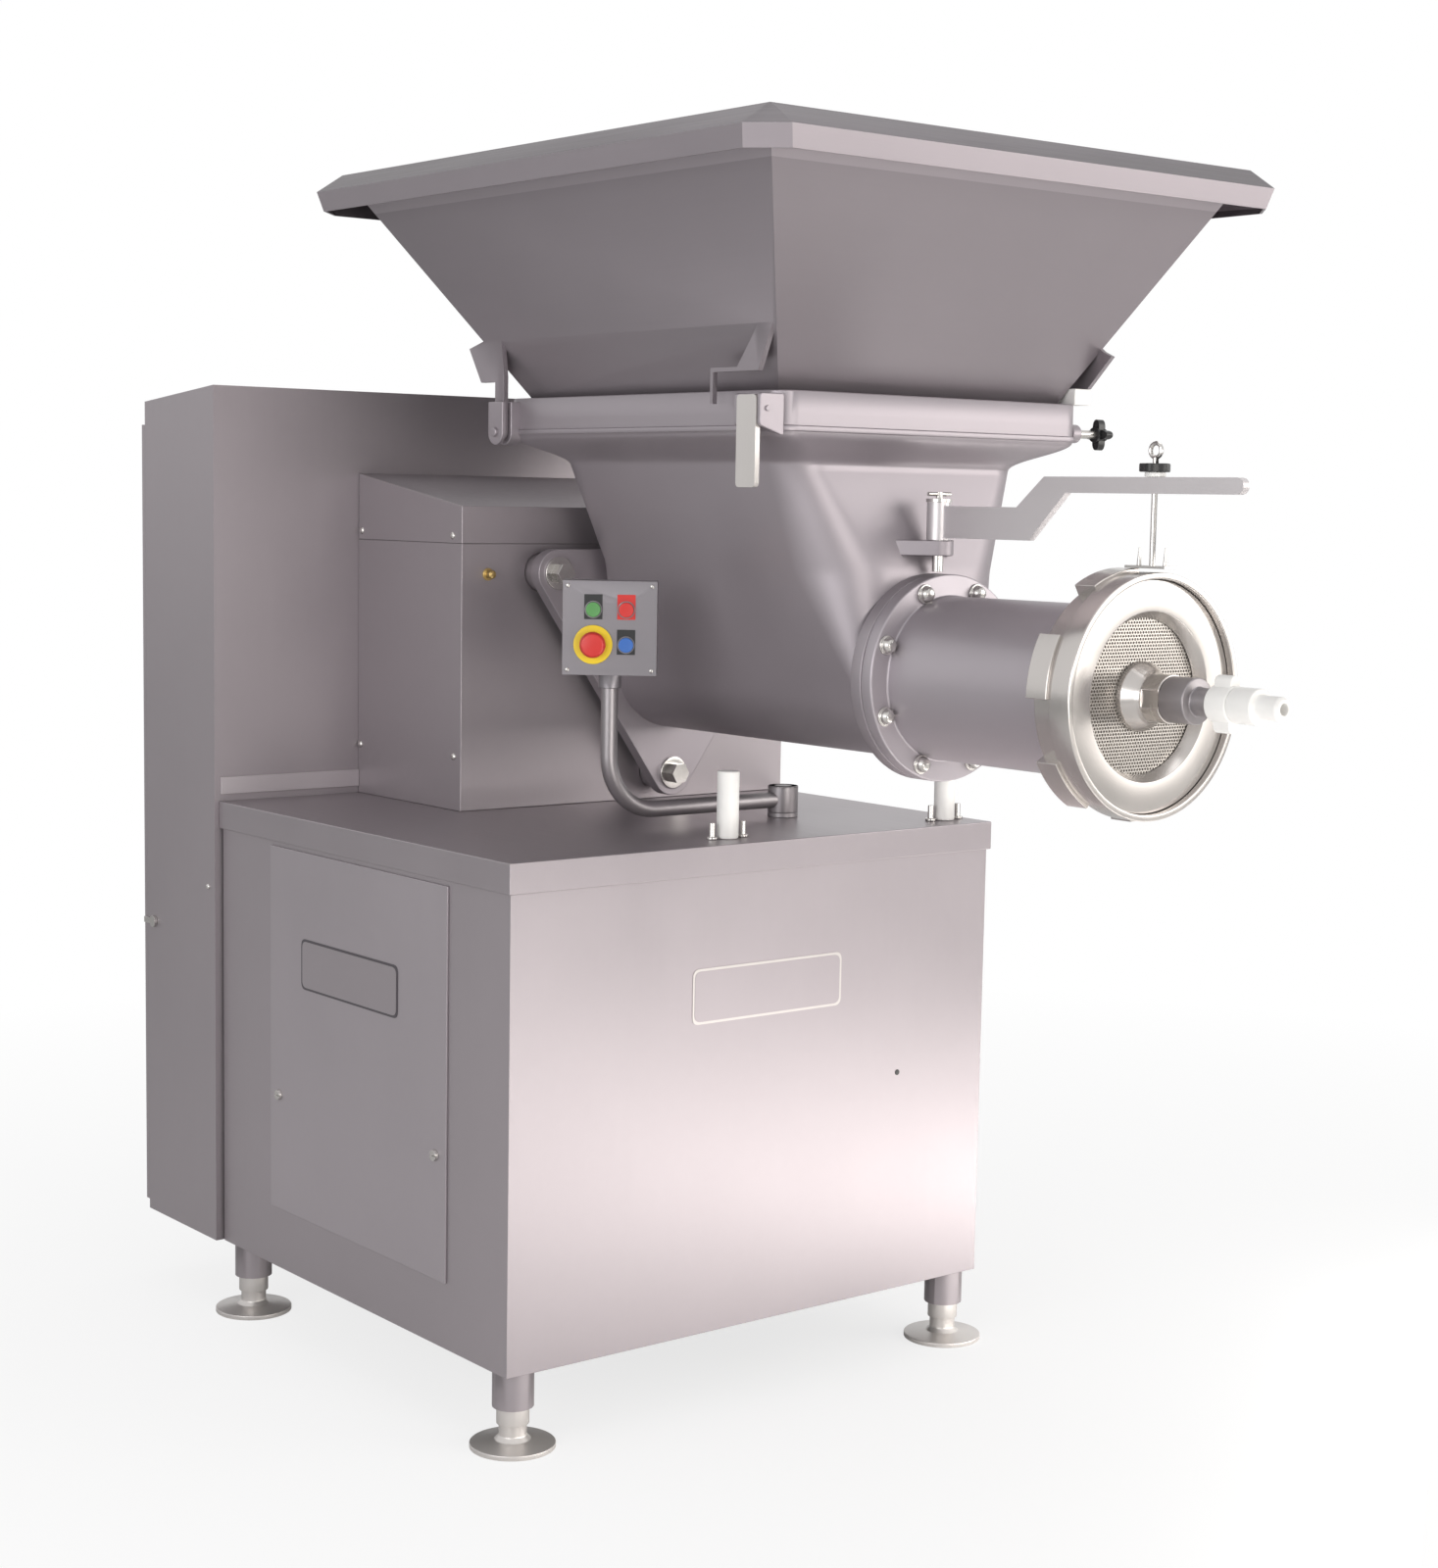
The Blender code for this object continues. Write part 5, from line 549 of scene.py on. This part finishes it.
# The rim's band as how far it stands out at a height
RIM_BAND = ((0.0, 1.436), (0.0028, 1.4375), (0.0034, 1.4405), (0.0028, 1.4435), (0.0, 1.445), (0.0, 1.460),
            (0.0, 1.4915), (-0.0015, 1.493))
QUARTER_STEPS = 13
LUGS = ((-0.234, 1.220), (0.234, 1.220), (0, 0.890))
LUG_RADIUS = 0.038
LUG_BACK = -0.500
LUG_FRONT = -0.477
BOSS_FRONT = -0.4765
BORE = 0.1135
FLANGE_RADIUS = 0.151
TONGUE_X = -0.516
TONGUE_Z = 1.440
CHEEK_TOP = 1.487
CHEEK_SPANS = ((0.292, 0.315), (0.3244, 0.3314))
PIN_Y = 0.322
STAR_X = 0.118
STAR_Z = 1.450


def bowl_rings(wall):
    """Rounded rectangles up the bowl's wall: the half width follows a circle in the trough and a
    straight slope above it, and all four measures ease from the neck out to the rim."""
    radius = TROUGH - wall
    rim_wall = RIM_WALL if wall else 0.0
    turn = np.radians(np.linspace(88, WALL_DEGREES, 18))
    low = np.stack([AXIS - radius * np.sin(turn), radius * np.cos(turn)], axis=1)
    rise = np.linspace(low[-1, 0], NECK_TOP, 40)[1:]
    slope = radius / cos(WALL_SLOPE) + (rise - AXIS) * np.tan(WALL_SLOPE)
    height = np.concatenate([low[:, 0], rise])
    half = np.concatenate([low[:, 1], slope])
    front = np.interp(height, WALL_HEIGHTS, WALL_FRONTS) - wall
    corner = np.interp(height, WALL_HEIGHTS, WALL_CORNERS)
    back = np.full_like(height, BOWL_BACK - wall)
    share = np.linspace(0, 1, 15)[1:]
    curve = (1 - np.cos(share * pi)) / 2
    target = [measure - rim_wall for measure in (RIM_BACK, RIM_FRONT, RIM_HALF_WIDTH, RIM_CORNER)]
    ends = (back[-1], front[-1], half[-1], corner[-1])
    eased_in = [end + (aim - end) * curve for end, aim in zip(ends, target)]
    bead, top = np.array(RIM_BAND).T
    if wall:
        bead = bead * 0
    band = [aim + bead * stands for aim, stands in zip(target, (1, 1, 1, 0))]
    height = np.concatenate([height, NECK_TOP + share * OGEE_RISE, top])
    back, front, half, corner = [np.concatenate([a, b, c]) for a, b, c in
                                 zip((back, front, half, corner), eased_in, band)]
    corner = np.maximum(np.minimum(corner, half * 0.9), 0.001)
    quarter = np.linspace(0, pi / 2, QUARTER_STEPS)[None, :]
    rings = []
    for start, toward_front, toward_far in ((-pi / 2, 1, -1), (0, 1, 1), (pi / 2, -1, 1), (pi, -1, -1)):
        edge = front if toward_front > 0 else -back
        middle_x = (edge - toward_front * corner)[:, None]
        middle_y = (toward_far * (half - corner))[:, None]
        rings.append(np.stack([middle_x + corner[:, None] * np.cos(start + quarter),
                               middle_y + corner[:, None] * np.sin(start + quarter),
                               np.broadcast_to(height[:, None], (len(height), QUARTER_STEPS))], axis=-1))
    return np.concatenate(rings, axis=1)


def cheek_pair(side):
    """Two round-ended cheeks with their pin for a tongue on one side of the rim."""
    outline = hull([(TONGUE_X, TONGUE_Z, 0.020), (TONGUE_X - 0.020, CHEEK_TOP, 0.0),
                    (TONGUE_X + 0.020, CHEEK_TOP, 0.0)], 64)
    forms = [extrude(outline, min(side * a, side * b), max(side * a, side * b), "y") for a, b in CHEEK_SPANS]
    forms.append(revolve(rod(0.0075, -0.018, 0.014), (TONGUE_X, side * PIN_Y, TONGUE_Z), (0, side, 0),
                         0.002, 32))
    return forms


bowl = [grid(np.concatenate([bowl_rings(0.0), bowl_rings(BOWL_WALL)[::-1]]), caps=True)]
bowl_parts = [extrude(hull([(across, up, LUG_RADIUS) for across, up in LUGS]), LUG_BACK, LUG_FRONT, "x"),
              on_barrel(tube(BORE, FLANGE_RADIUS, 0.133, 0.155), 0.002, 96)]
boss = [(0.0108, LUG_BACK), (0.0108, BOSS_FRONT), (0.029, BOSS_FRONT), (0.033, LUG_BACK)]
for across, up in LUGS:
    bowl_parts.append(revolve(boss, (0, across, up), FORWARD, 0.002, 48))
ear = hull([(0.148, 0, 0.022), (0.112, 0.066, 0.0), (0.112, -0.066, 0.0)])
bowl_parts += [extrude(ear, 1.265, 1.287, "z"), *cheek_pair(-1), *cheek_pair(1),
               revolve(rod(0.014, 0.292, 0.310), (STAR_X, 0, STAR_Z), FARWARD, 0.002, 40)]
lever_cheek = [(-0.292, CHEEK_TOP), (-0.3346, CHEEK_TOP), (-0.3346, 1.443), (-0.292, 1.429)]
for start in (0.0853, 0.1357):
    bowl_parts.append(extrude(eased(lever_cheek, 0.004), start, start + 0.007, "x"))
bowl_parts.append(revolve(rod(0.004, -0.031, 0.031), (0.114, -PIN_Y, 1.466), FORWARD, 0.001, 24))
mouth = cutter("mouth", on_barrel(rod(BORE, 0.10, 0.19)))
shaft_way = cutter("shaft_way", on_barrel(rod(0.031, -0.53, -0.46)))
washers = [revolve(tube(0.0110, 0.0265, -0.4775, -0.4735), (0, across, up), FORWARD, 0.001, 48)
           for across, up in LUGS]
piece("bolt_washers", washers, TURNED, "machine")
piece("bowl_casting", bowl, CASTING, "machine", ("bowl",), 0.0, 50, (mouth, shaft_way))
piece("bowl_fittings", bowl_parts, CASTING, "machine", ("bowl",), 0.0015, 40)


# Star knob

def star_turned(profile, ease, steps):
    return revolve(profile, (STAR_X, 0, STAR_Z), FARWARD, ease, steps)


star_cap = [(0, 0.3665), (0.0120, 0.3665), (0.0095, 0.3735), (0, 0.3745)]
star = [extrude(lobed((STAR_X, STAR_Z), 0.0170, 0.0065, 4, 96), 0.3545, 0.3685, "y"),
        star_turned(rod(0.0115, 0.3500, 0.3560), 0.001, 40), star_turned(star_cap, 0.001, 40)]
piece("star_knob_moulded", star, BLACK, "star", ("star_knob",), 0.0012)
piece("star_knob_stem", [star_turned(rod(0.0065, 0.3005, 0.3515), 0.0005, 32)], TURNED, "star")


# Barrel and head

BARREL_RADIUS = 0.1194
BARREL_BORE = 0.111
BARREL_FRONT = 0.545
BARREL_BACK = 0.1553
BARREL_FLANGE_FRONT = 0.1773
HEAD_RADIUS = 0.148
HEAD_BACK = 0.505
NUT_COUNT = 8
NUT_CIRCLE = 0.133
NUT_X = 0.1785
RING_SEAT = 0.1492
RING_LUG_INNER = 0.152
RING_LUG_OUTER = 0.171
PLATE_FACE = 0.5430
SIEVE_PITCH = 0.0052
SIEVE_HOLE = 0.0018
SIEVE_INNER = 0.044
SIEVE_OUTER = 0.1068
SIEVE_FRONT = 0.5487
SIEVE_DEPTH = 0.0045
HUB_FLAT = 0.030
HUB_BORE = 0.008
WING_RISE = 0.029


def dome_nut(x, y, z, size=0.0125):
    """A washer, a collar and a domed cap, turned about a line along the barrel."""
    return revolve([(0, -0.002), (size * 1.15, -0.002), (size * 1.15, 0.002), (size * 0.9, 0.002),
                    (size * 0.9, 0.007), (size * 0.62, 0.0125), (0, 0.0145)], (x, y, z), FORWARD, 0.0025, 24)


barrel = [(HEAD_RADIUS, BARREL_FRONT), (HEAD_RADIUS, HEAD_BACK), (BARREL_RADIUS, HEAD_BACK),
          (BARREL_RADIUS, BARREL_FLANGE_FRONT), (FLANGE_RADIUS, BARREL_FLANGE_FRONT),
          (FLANGE_RADIUS, BARREL_BACK), (BARREL_BORE, BARREL_BACK), (BARREL_BORE, BARREL_FRONT)]
piece("barrel_turned", [on_barrel(barrel, 0.003, 128)], BARREL_SKIN, "machine",
      ("barrel",), 0.0, 30)
nut_angles = [2 * pi * (i + 0.5) / NUT_COUNT for i in range(NUT_COUNT)]
nuts = [dome_nut(NUT_X, NUT_CIRCLE * cos(angle), AXIS + NUT_CIRCLE * sin(angle)) for angle in nut_angles]
piece("barrel_nuts", nuts, TURNED, "machine", ("barrel",), 0.0, 40)
ring = [(0.1665, 0.577), (0.1665, 0.540), (0.155, 0.540), (0.155, 0.503), (RING_SEAT, 0.503),
        (RING_SEAT, 0.5453), (0.1611, 0.5453), (0.1611, 0.5603), (0.1576, 0.5603), (0.1576, 0.577)]
ring_forms = [on_barrel(ring, 0.0018, 144)]
for start in range(30, 360, 60):
    lug_angle = np.radians(np.linspace(start, start + 30, 13))
    outer = np.stack([RING_LUG_OUTER * np.cos(lug_angle), AXIS + RING_LUG_OUTER * np.sin(lug_angle)], axis=1)
    inner = np.stack([RING_LUG_INNER * np.cos(lug_angle), AXIS + RING_LUG_INNER * np.sin(lug_angle)], axis=1)
    ring_forms.append(extrude(np.vstack([outer, inner[::-1]]), 0.5033, 0.5403, "x"))
piece("retaining_ring_turned", ring_forms, POLISHED, "ring", ("retaining_ring",), 0.0012, 34)
bridge = [(0.1565, 0.567), (0.1565, 0.560), (0.160, 0.560), (0.160, 0.5497), (0.105, 0.5497), (0.115, 0.567)]
piece("bridge_ring_turned", [on_barrel(bridge, 0.001, 144)], POLISHED, "machine",
      ("bridge_ring",), 0.0, 24)
plate = tube(0.0153, 0.1102, 0.532, PLATE_FACE)
sieve = drilled(SIEVE_PITCH, SIEVE_HOLE, SIEVE_INNER, SIEVE_OUTER, SIEVE_FRONT, SIEVE_DEPTH)
piece("grinder_plate_drilled", [on_barrel(plate, 0.0006, 128), sieve], SCREEN, "machine",
      ("grinder_plate",), 0.0, 30)
hub = [(0.033, 0.608), (0.033, 0.578), (0.036, 0.572), (0.047, 0.556), (0.048, 0.549), (HUB_BORE, 0.549),
       (HUB_BORE, 0.608)]
hub_points, hub_faces = on_barrel(hub, 0.0015, 96)
flats = hub_points[:, 0] > 0.579
hub_points[flats, 1] = np.clip(hub_points[flats, 1], -HUB_FLAT, HUB_FLAT)
piece("discharge_hub_turned", [(hub_points, hub_faces)], POLISHED, "machine",
      ("discharge_hub",))
coupling = [(0.019, 0.680), (0.019, 0.652), (0.031, 0.650), (0.031, 0.6083), (HUB_BORE, 0.6083),
            (HUB_BORE, 0.680)]
piece("discharge_coupling_turned", [on_barrel(coupling, 0.0018, 64)], PIPE, "machine",
      ("discharge_coupling",))
valve = [(0.0128, 0.794), (0.016, 0.789), (0.016, 0.757), (0.024, 0.755), (0.024, 0.7163), (0.014, 0.7163),
         (0.014, 0.6803), (HUB_BORE, 0.6803), (HUB_BORE, 0.794)]
piece("valve_body_turned", [on_barrel(valve, 0.0018, 64)], WHITE, "machine", ("valve_body",))
wing = hull([(0, AXIS - WING_RISE, 0.009), (0, AXIS + WING_RISE, 0.009), (0, AXIS, 0.014)], 64)
piece("valve_handle_moulded", [on_barrel(tube(0.0145, 0.025, 0.6803, 0.716), 0.003, 64),
                               extrude(wing, 0.6843, 0.7120, "x")], WHITE, "valve_lever",
      ("valve_handle",), 0.0015)


# Posts and studs on the base cover

COVER_TOP = 0.8423
POST_X = -0.055
STUD_REACH = 0.029

stud = [(0, COVER_TOP), (0.0085, COVER_TOP), (0.0085, 0.8463), (0.0045, 0.8463), (0.0045, 0.867), (0, 0.867)]
for name, y in (("near", -0.220), ("far", 0.220)):
    post = revolve(rod(0.0165, COVER_TOP, 0.943), (POST_X, y, 0), UPWARD, 0.003, 48)
    piece(f"rest_post_{name}_turned", [post], WHITE, "machine", (f"rest_post_{name}",))
    studs = [revolve(stud, (POST_X, y + side * STUD_REACH, 0), UPWARD, 0.0008, 24) for side in (-1, 1)]
    piece(f"post_studs_{name}", studs, TURNED, "machine")


# Controls

CONTROL_X = -0.222
CONTROL_Y = -0.317
TUBE_RADIUS = 0.0127
TUBE_HEIGHT = 0.8695
BEND_RADIUS = 0.085
SOCKET_Y = 0.026
SLEEVE_RADIUS = 0.024
SLEEVE_TOP = 0.8915
BOX = (CONTROL_X, CONTROL_Y, 1.148)
BOX_TURN = 51.5
PANEL_FACE = 0.031
BUTTON_STEP = 0.0245
UPPER_ROW = 0.0275
TAG_HALF_WIDTH = 0.0135
PANEL_SCREW = 0.0625

bend = np.radians(np.linspace(270, 180, 24))
path = [(CONTROL_X, y, TUBE_HEIGHT) for y in (0.0105, -0.06, -0.14)]
path += [(CONTROL_X, CONTROL_Y + BEND_RADIUS * (1 + cos(angle)), TUBE_HEIGHT + BEND_RADIUS * (1 + sin(angle)))
         for angle in bend]
path += [(CONTROL_X, CONTROL_Y, z) for z in (1.00, 1.057)]
socket_place = (CONTROL_X, SOCKET_Y, 0)
sleeve = tube(0.0123, SLEEVE_RADIUS, 0.8496, SLEEVE_TOP)
cap = rod(SLEEVE_RADIUS, 0.8883, SLEEVE_TOP)
piece("control_arm_bent", [sweep(path, TUBE_RADIUS), revolve(sleeve, socket_place, UPWARD, 0.001, 48),
                           revolve(cap, socket_place, UPWARD, 0.001, 48)], PIPE, "control",
      ("control_arm",))


def on_panel(form):
    return swung(form, BOX, BOX_TURN)


def panel_turned(profile, across, up, ease=0.001, steps=48):
    base = (BOX[0] + across, BOX[1] - PANEL_FACE, BOX[2] + up)
    return on_panel(revolve(profile, base, NEARWARD, ease, steps))


button = [(0, -0.014), (0.011, -0.014), (0.011, 0.008), (0.0095, 0.0082), (0, 0.0076)]
for name, across, up, material, tag, tag_slot in (
        ("green", -BUTTON_STEP, UPPER_ROW, GREEN, BLACK, "black_plastic"),
        ("red", BUTTON_STEP, UPPER_ROW, RED, RED, "red_plastic"),
        ("blue", BUTTON_STEP, -BUTTON_STEP, BLUE, BLACK, "black_plastic")):
    piece(f"{name}_button_moulded", [panel_turned(button, across, up)], material, name,
          (f"{name}_button",))
    low = (BOX[0] + across - TAG_HALF_WIDTH, BOX[1] - PANEL_FACE - 0.0011, BOX[2] + up - 0.0145)
    high = (BOX[0] + across + TAG_HALF_WIDTH, BOX[1] - PANEL_FACE, BOX[2] + up + 0.0225)
    piece(f"{name}_tag", [on_panel(block(low, high))], tag, "control", (), 0.0003)
disc = tube(0.0084, 0.029, 0.0003, 0.0033)
piece("estop_disc_moulded", [panel_turned(disc, -BUTTON_STEP, -BUTTON_STEP)], YELLOW, "control",
      ("estop_disc",))
mushroom = [(0, -0.014), (0.008, -0.014), (0.008, 0.0093), (0.0195, 0.0093), (0.0195, 0.0145),
            (0.0165, 0.0215), (0, 0.0223)]
piece("estop_button_moulded", [panel_turned(mushroom, -BUTTON_STEP, -BUTTON_STEP, 0.002)], RED, "stop",
      ("estop_button",))
screw_head = [(0, -0.0005), (0.0032, -0.0005), (0.0032, 0.0008), (0.002, 0.0016), (0, 0.0018)]
screws = [panel_turned(screw_head, across, up, 0.0004, 20) for across in (-PANEL_SCREW, PANEL_SCREW)
          for up in (-PANEL_SCREW, PANEL_SCREW)]
piece("panel_screws", screws, TURNED, "control")


# Small fasteners, and plates whose borders carry painted edge shade and painted edge highlight

COVER_SIDE = -0.384
COVER_SCREWS = ((-0.831, 1.280), (-0.554, 1.277), (-0.835, 0.924), (-0.548, 0.928))
PLATE_ROUNDING = 0.012
PLATE_INSET = (0.975, 0.91)


def screw(x, y, z, direction, size=0.006):
    return revolve([(0, -0.001), (size, -0.001), (size, 0.001), (size * 0.7, 0.003), (0, 0.0036)], (x, y, z),
                   direction, 0.0008, 24)


def plate_with_painted_edge(name, low, high, axis, border_span, face_span, painted_edge):
    """A rounded plate whose border is given the painted light of its edge, with a slightly smaller one proud
    of it.
    """
    (left, bottom), (right, top) = low, high
    outline = eased([(left, bottom), (right, bottom), (right, top), (left, top)], PLATE_ROUNDING, steps=8)
    middle = np.mean(outline, axis=0)
    inset = (outline - middle) * PLATE_INSET + middle
    piece(f"{name}_painted_edge", [extrude(outline, *border_span, axis)], painted_edge, "machine")
    piece(f"{name}_face", [extrude(inset, *face_span, axis)], SHEET_UP, "machine")


cover_screws = [screw(x, COVER_SIDE, z, NEARWARD) for x, z in COVER_SCREWS]
piece("cover_screws", cover_screws, TURNED, "machine")
piece("cabinet_screw", [screw(-0.866, -0.650, 0.700, NEARWARD, 0.0045)], TURNED, "machine")
brass_bolt = [(0, -0.001), (0.010, -0.001), (0.010, 0.002), (0.0065, 0.002), (0.0065, 0.014), (0, 0.016)]
piece("cover_brass_bolt", [revolve(brass_bolt, (-0.5275, -0.335, 1.217), FORWARD, 0.001, 24)], BRASS,
      "machine")
plug = [(0, -0.0005), (0.0045, -0.0005), (0.0045, 0.0008), (0, 0.0010)]
piece("front_plug", [revolve(plug, (-0.005, 0.087, 0.460), FORWARD, 0.0004, 20)], BLACK, "machine")
# The side plate's near-black border is painted shade along its edge.
plate_with_painted_edge("side_plate", (-0.575, 0.577), (-0.292, 0.656), "y", (-0.6422, -0.6413), (-0.6426, -0.6420),
           PAINTED_EDGE_SHADE)
# The front plate's pale border is a painted highlight along its edge.
plate_with_painted_edge("front_plate", (-0.3195, 0.580), (-0.034, 0.662), "x", (-0.0050, -0.0042), (-0.0044, -0.0038),
           PAINTED_EDGE_HIGHLIGHT)


# Hanger knob and washer

HANGER_X = 0.562
HANGER_KNOB = 0.0215
HANGER_LOBE = 0.07
HANGER_BORE = 0.0050
KNOB_LOW = 1.3867
KNOB_HIGH = 1.3980

knob_rim = lobed((HANGER_X, 0), HANGER_KNOB * (1 - HANGER_LOBE), HANGER_KNOB * HANGER_LOBE, 5, 100)
knob_hole = lobed((HANGER_X, 0), HANGER_BORE, 0.0, 5, 100)
levels = ((knob_hole, KNOB_LOW), (knob_rim, KNOB_LOW), (knob_rim, KNOB_HIGH), (knob_hole, KNOB_HIGH))
knob = np.stack([np.column_stack([outline, np.full(len(outline), height)]) for outline, height in levels])
piece("hanger_knob_moulded", [grid(knob, wrap_rows=True)], BLACK, "hanger_nut",
      ("hanger_knob",), 0.0015)
washer = revolve(tube(0.0044, 0.014, 1.3803, 1.3863), (HANGER_X, 0, 0), UPWARD, 0.001, 40)
piece("hanger_washer_turned", [washer], WHITE, "arm", ("hanger_washer",))


# Floor, light and camera

def lamp(name, place, aim, size, power, colour=(1.0, 1.0, 1.0)):
    light = bpy.data.lights.new(name, "AREA")
    light.shape = "RECTANGLE"
    light.size, light.size_y = size
    light.energy = power
    light.color = colour
    item = linked(name, light)
    item.location = place
    item.rotation_euler = (Vector(aim) - Vector(place)).to_track_quat("-Z", "Y").to_euler()
    return item


WARM = (1.0, 0.965, 0.915)
lamp("key", (3.8, 3.5, 2.0), (0.1, 0.0, 1.0), (3.2, 2.4), 88, WARM)
lamp("front", (4.8, -0.3, 0.9), (0.0, 0.0, 0.6), (2.6, 1.6), 68, WARM)
lamp("front_low", (1.1, 0.75, 0.16), (0.15, -0.10, 0.10), (2.2, 0.28), 5, WARM).visible_camera = False
lamp("front_foot", (0.95, 0.45, 0.05), (0.15, -0.10, 0.02), (1.8, 0.12), 4.2, WARM).visible_camera = False
lamp("fill", (1.1, -3.4, 1.5), (-0.1, 0.0, 0.95), (2.4, 1.8), 46)
lamp("overhead", (-0.5, 0.5, 5.2), (0.0, 0.0, 0.8), (4.0, 4.0), 60)

FLOOR_REACH = 40
# The floor's share of plain white at the origin, and how it grows with distance
WHITE_AT_ORIGIN = 0.74
WHITE_PER_METRE = 0.08
floor_mesh = bpy.data.meshes.new("floor")
corners = [(-FLOOR_REACH, -FLOOR_REACH, 0), (FLOOR_REACH, -FLOOR_REACH, 0), (FLOOR_REACH, FLOOR_REACH, 0),
           (-FLOOR_REACH, FLOOR_REACH, 0)]
floor_mesh.from_pydata(corners, [], [(0, 1, 2, 3)])
linked("floor", floor_mesh)
ground = Finish("pale_floor")
ground.done(Base_Color=(0.88, 0.88, 0.88, 1), Roughness=0.9)
view = Value(ground, ground.node("ShaderNodeLightPath").outputs["Is Camera Ray"])
spot = ground.node("ShaderNodeVectorMath", {"operation": "LENGTH"}, {0: ground.place})
far = Value(ground, spot.outputs["Value"]) * WHITE_PER_METRE + WHITE_AT_ORIGIN
glow = ground.node("ShaderNodeEmission", {}, {"Color": (1, 1, 1, 1), "Strength": 1.0})
mixed = ground.node("ShaderNodeMixShader", {}, {0: view * far.nearest(1.0),
                                                1: Value(ground, ground.shader.outputs[0]),
                                                2: Value(ground, glow.outputs[0])})
ground.tree.links.new(mixed.outputs[0], ground.tree.nodes["Material Output"].inputs["Surface"])
floor_mesh.materials.append(ground.material)

# The sky's strength as a light; seen directly or mirrored it is 1
DIM_SKY = 0.35
world = bpy.data.worlds.new("studio")
bpy.context.scene.world = world
world.use_nodes = True
sky = world.node_tree
rays = sky.nodes.new("ShaderNodeLightPath")


def either(first, second):
    node = sky.nodes.new("ShaderNodeMath")
    node.operation = "MAXIMUM"
    sky.links.new(first, node.inputs[0])
    sky.links.new(second, node.inputs[1])
    return node.outputs[0]


seen = either(rays.outputs["Is Camera Ray"], rays.outputs["Is Glossy Ray"])
through = either(seen, rays.outputs["Is Transmission Ray"])
strength = sky.nodes.new("ShaderNodeMapRange")
strength.inputs["To Min"].default_value = DIM_SKY
strength.inputs["To Max"].default_value = 1.0
sky.links.new(through, strength.inputs["Value"])
sky.nodes["Background"].inputs["Color"].default_value = (1, 1, 1, 1)
sky.links.new(strength.outputs[0], sky.nodes["Background"].inputs["Strength"])

YAW = radians(51.429)
PITCH = radians(6.256)
ROLL = radians(1.016)
CAMERA_PLACE = (3.0425, -2.510, 1.337)
FOCAL_LENGTH = 59.05
SENSOR_WIDTH = 36
ahead = Vector((-sin(YAW) * cos(PITCH), cos(YAW) * cos(PITCH), -sin(PITCH)))
level = Vector((cos(YAW), sin(YAW), 0))
upright = level.cross(ahead)
right = level * cos(ROLL) + upright * sin(ROLL)
above = upright * cos(ROLL) - level * sin(ROLL)
lens = bpy.data.cameras.new("camera")
lens.sensor_width = SENSOR_WIDTH
lens.lens = FOCAL_LENGTH
camera = linked("camera", lens)
facing = Matrix((right, above, -ahead)).transposed().to_4x4()
camera.matrix_world = Matrix.Translation(CAMERA_PLACE) @ facing
bpy.context.scene.camera = camera
bpy.context.scene.view_settings.view_transform = "Standard"
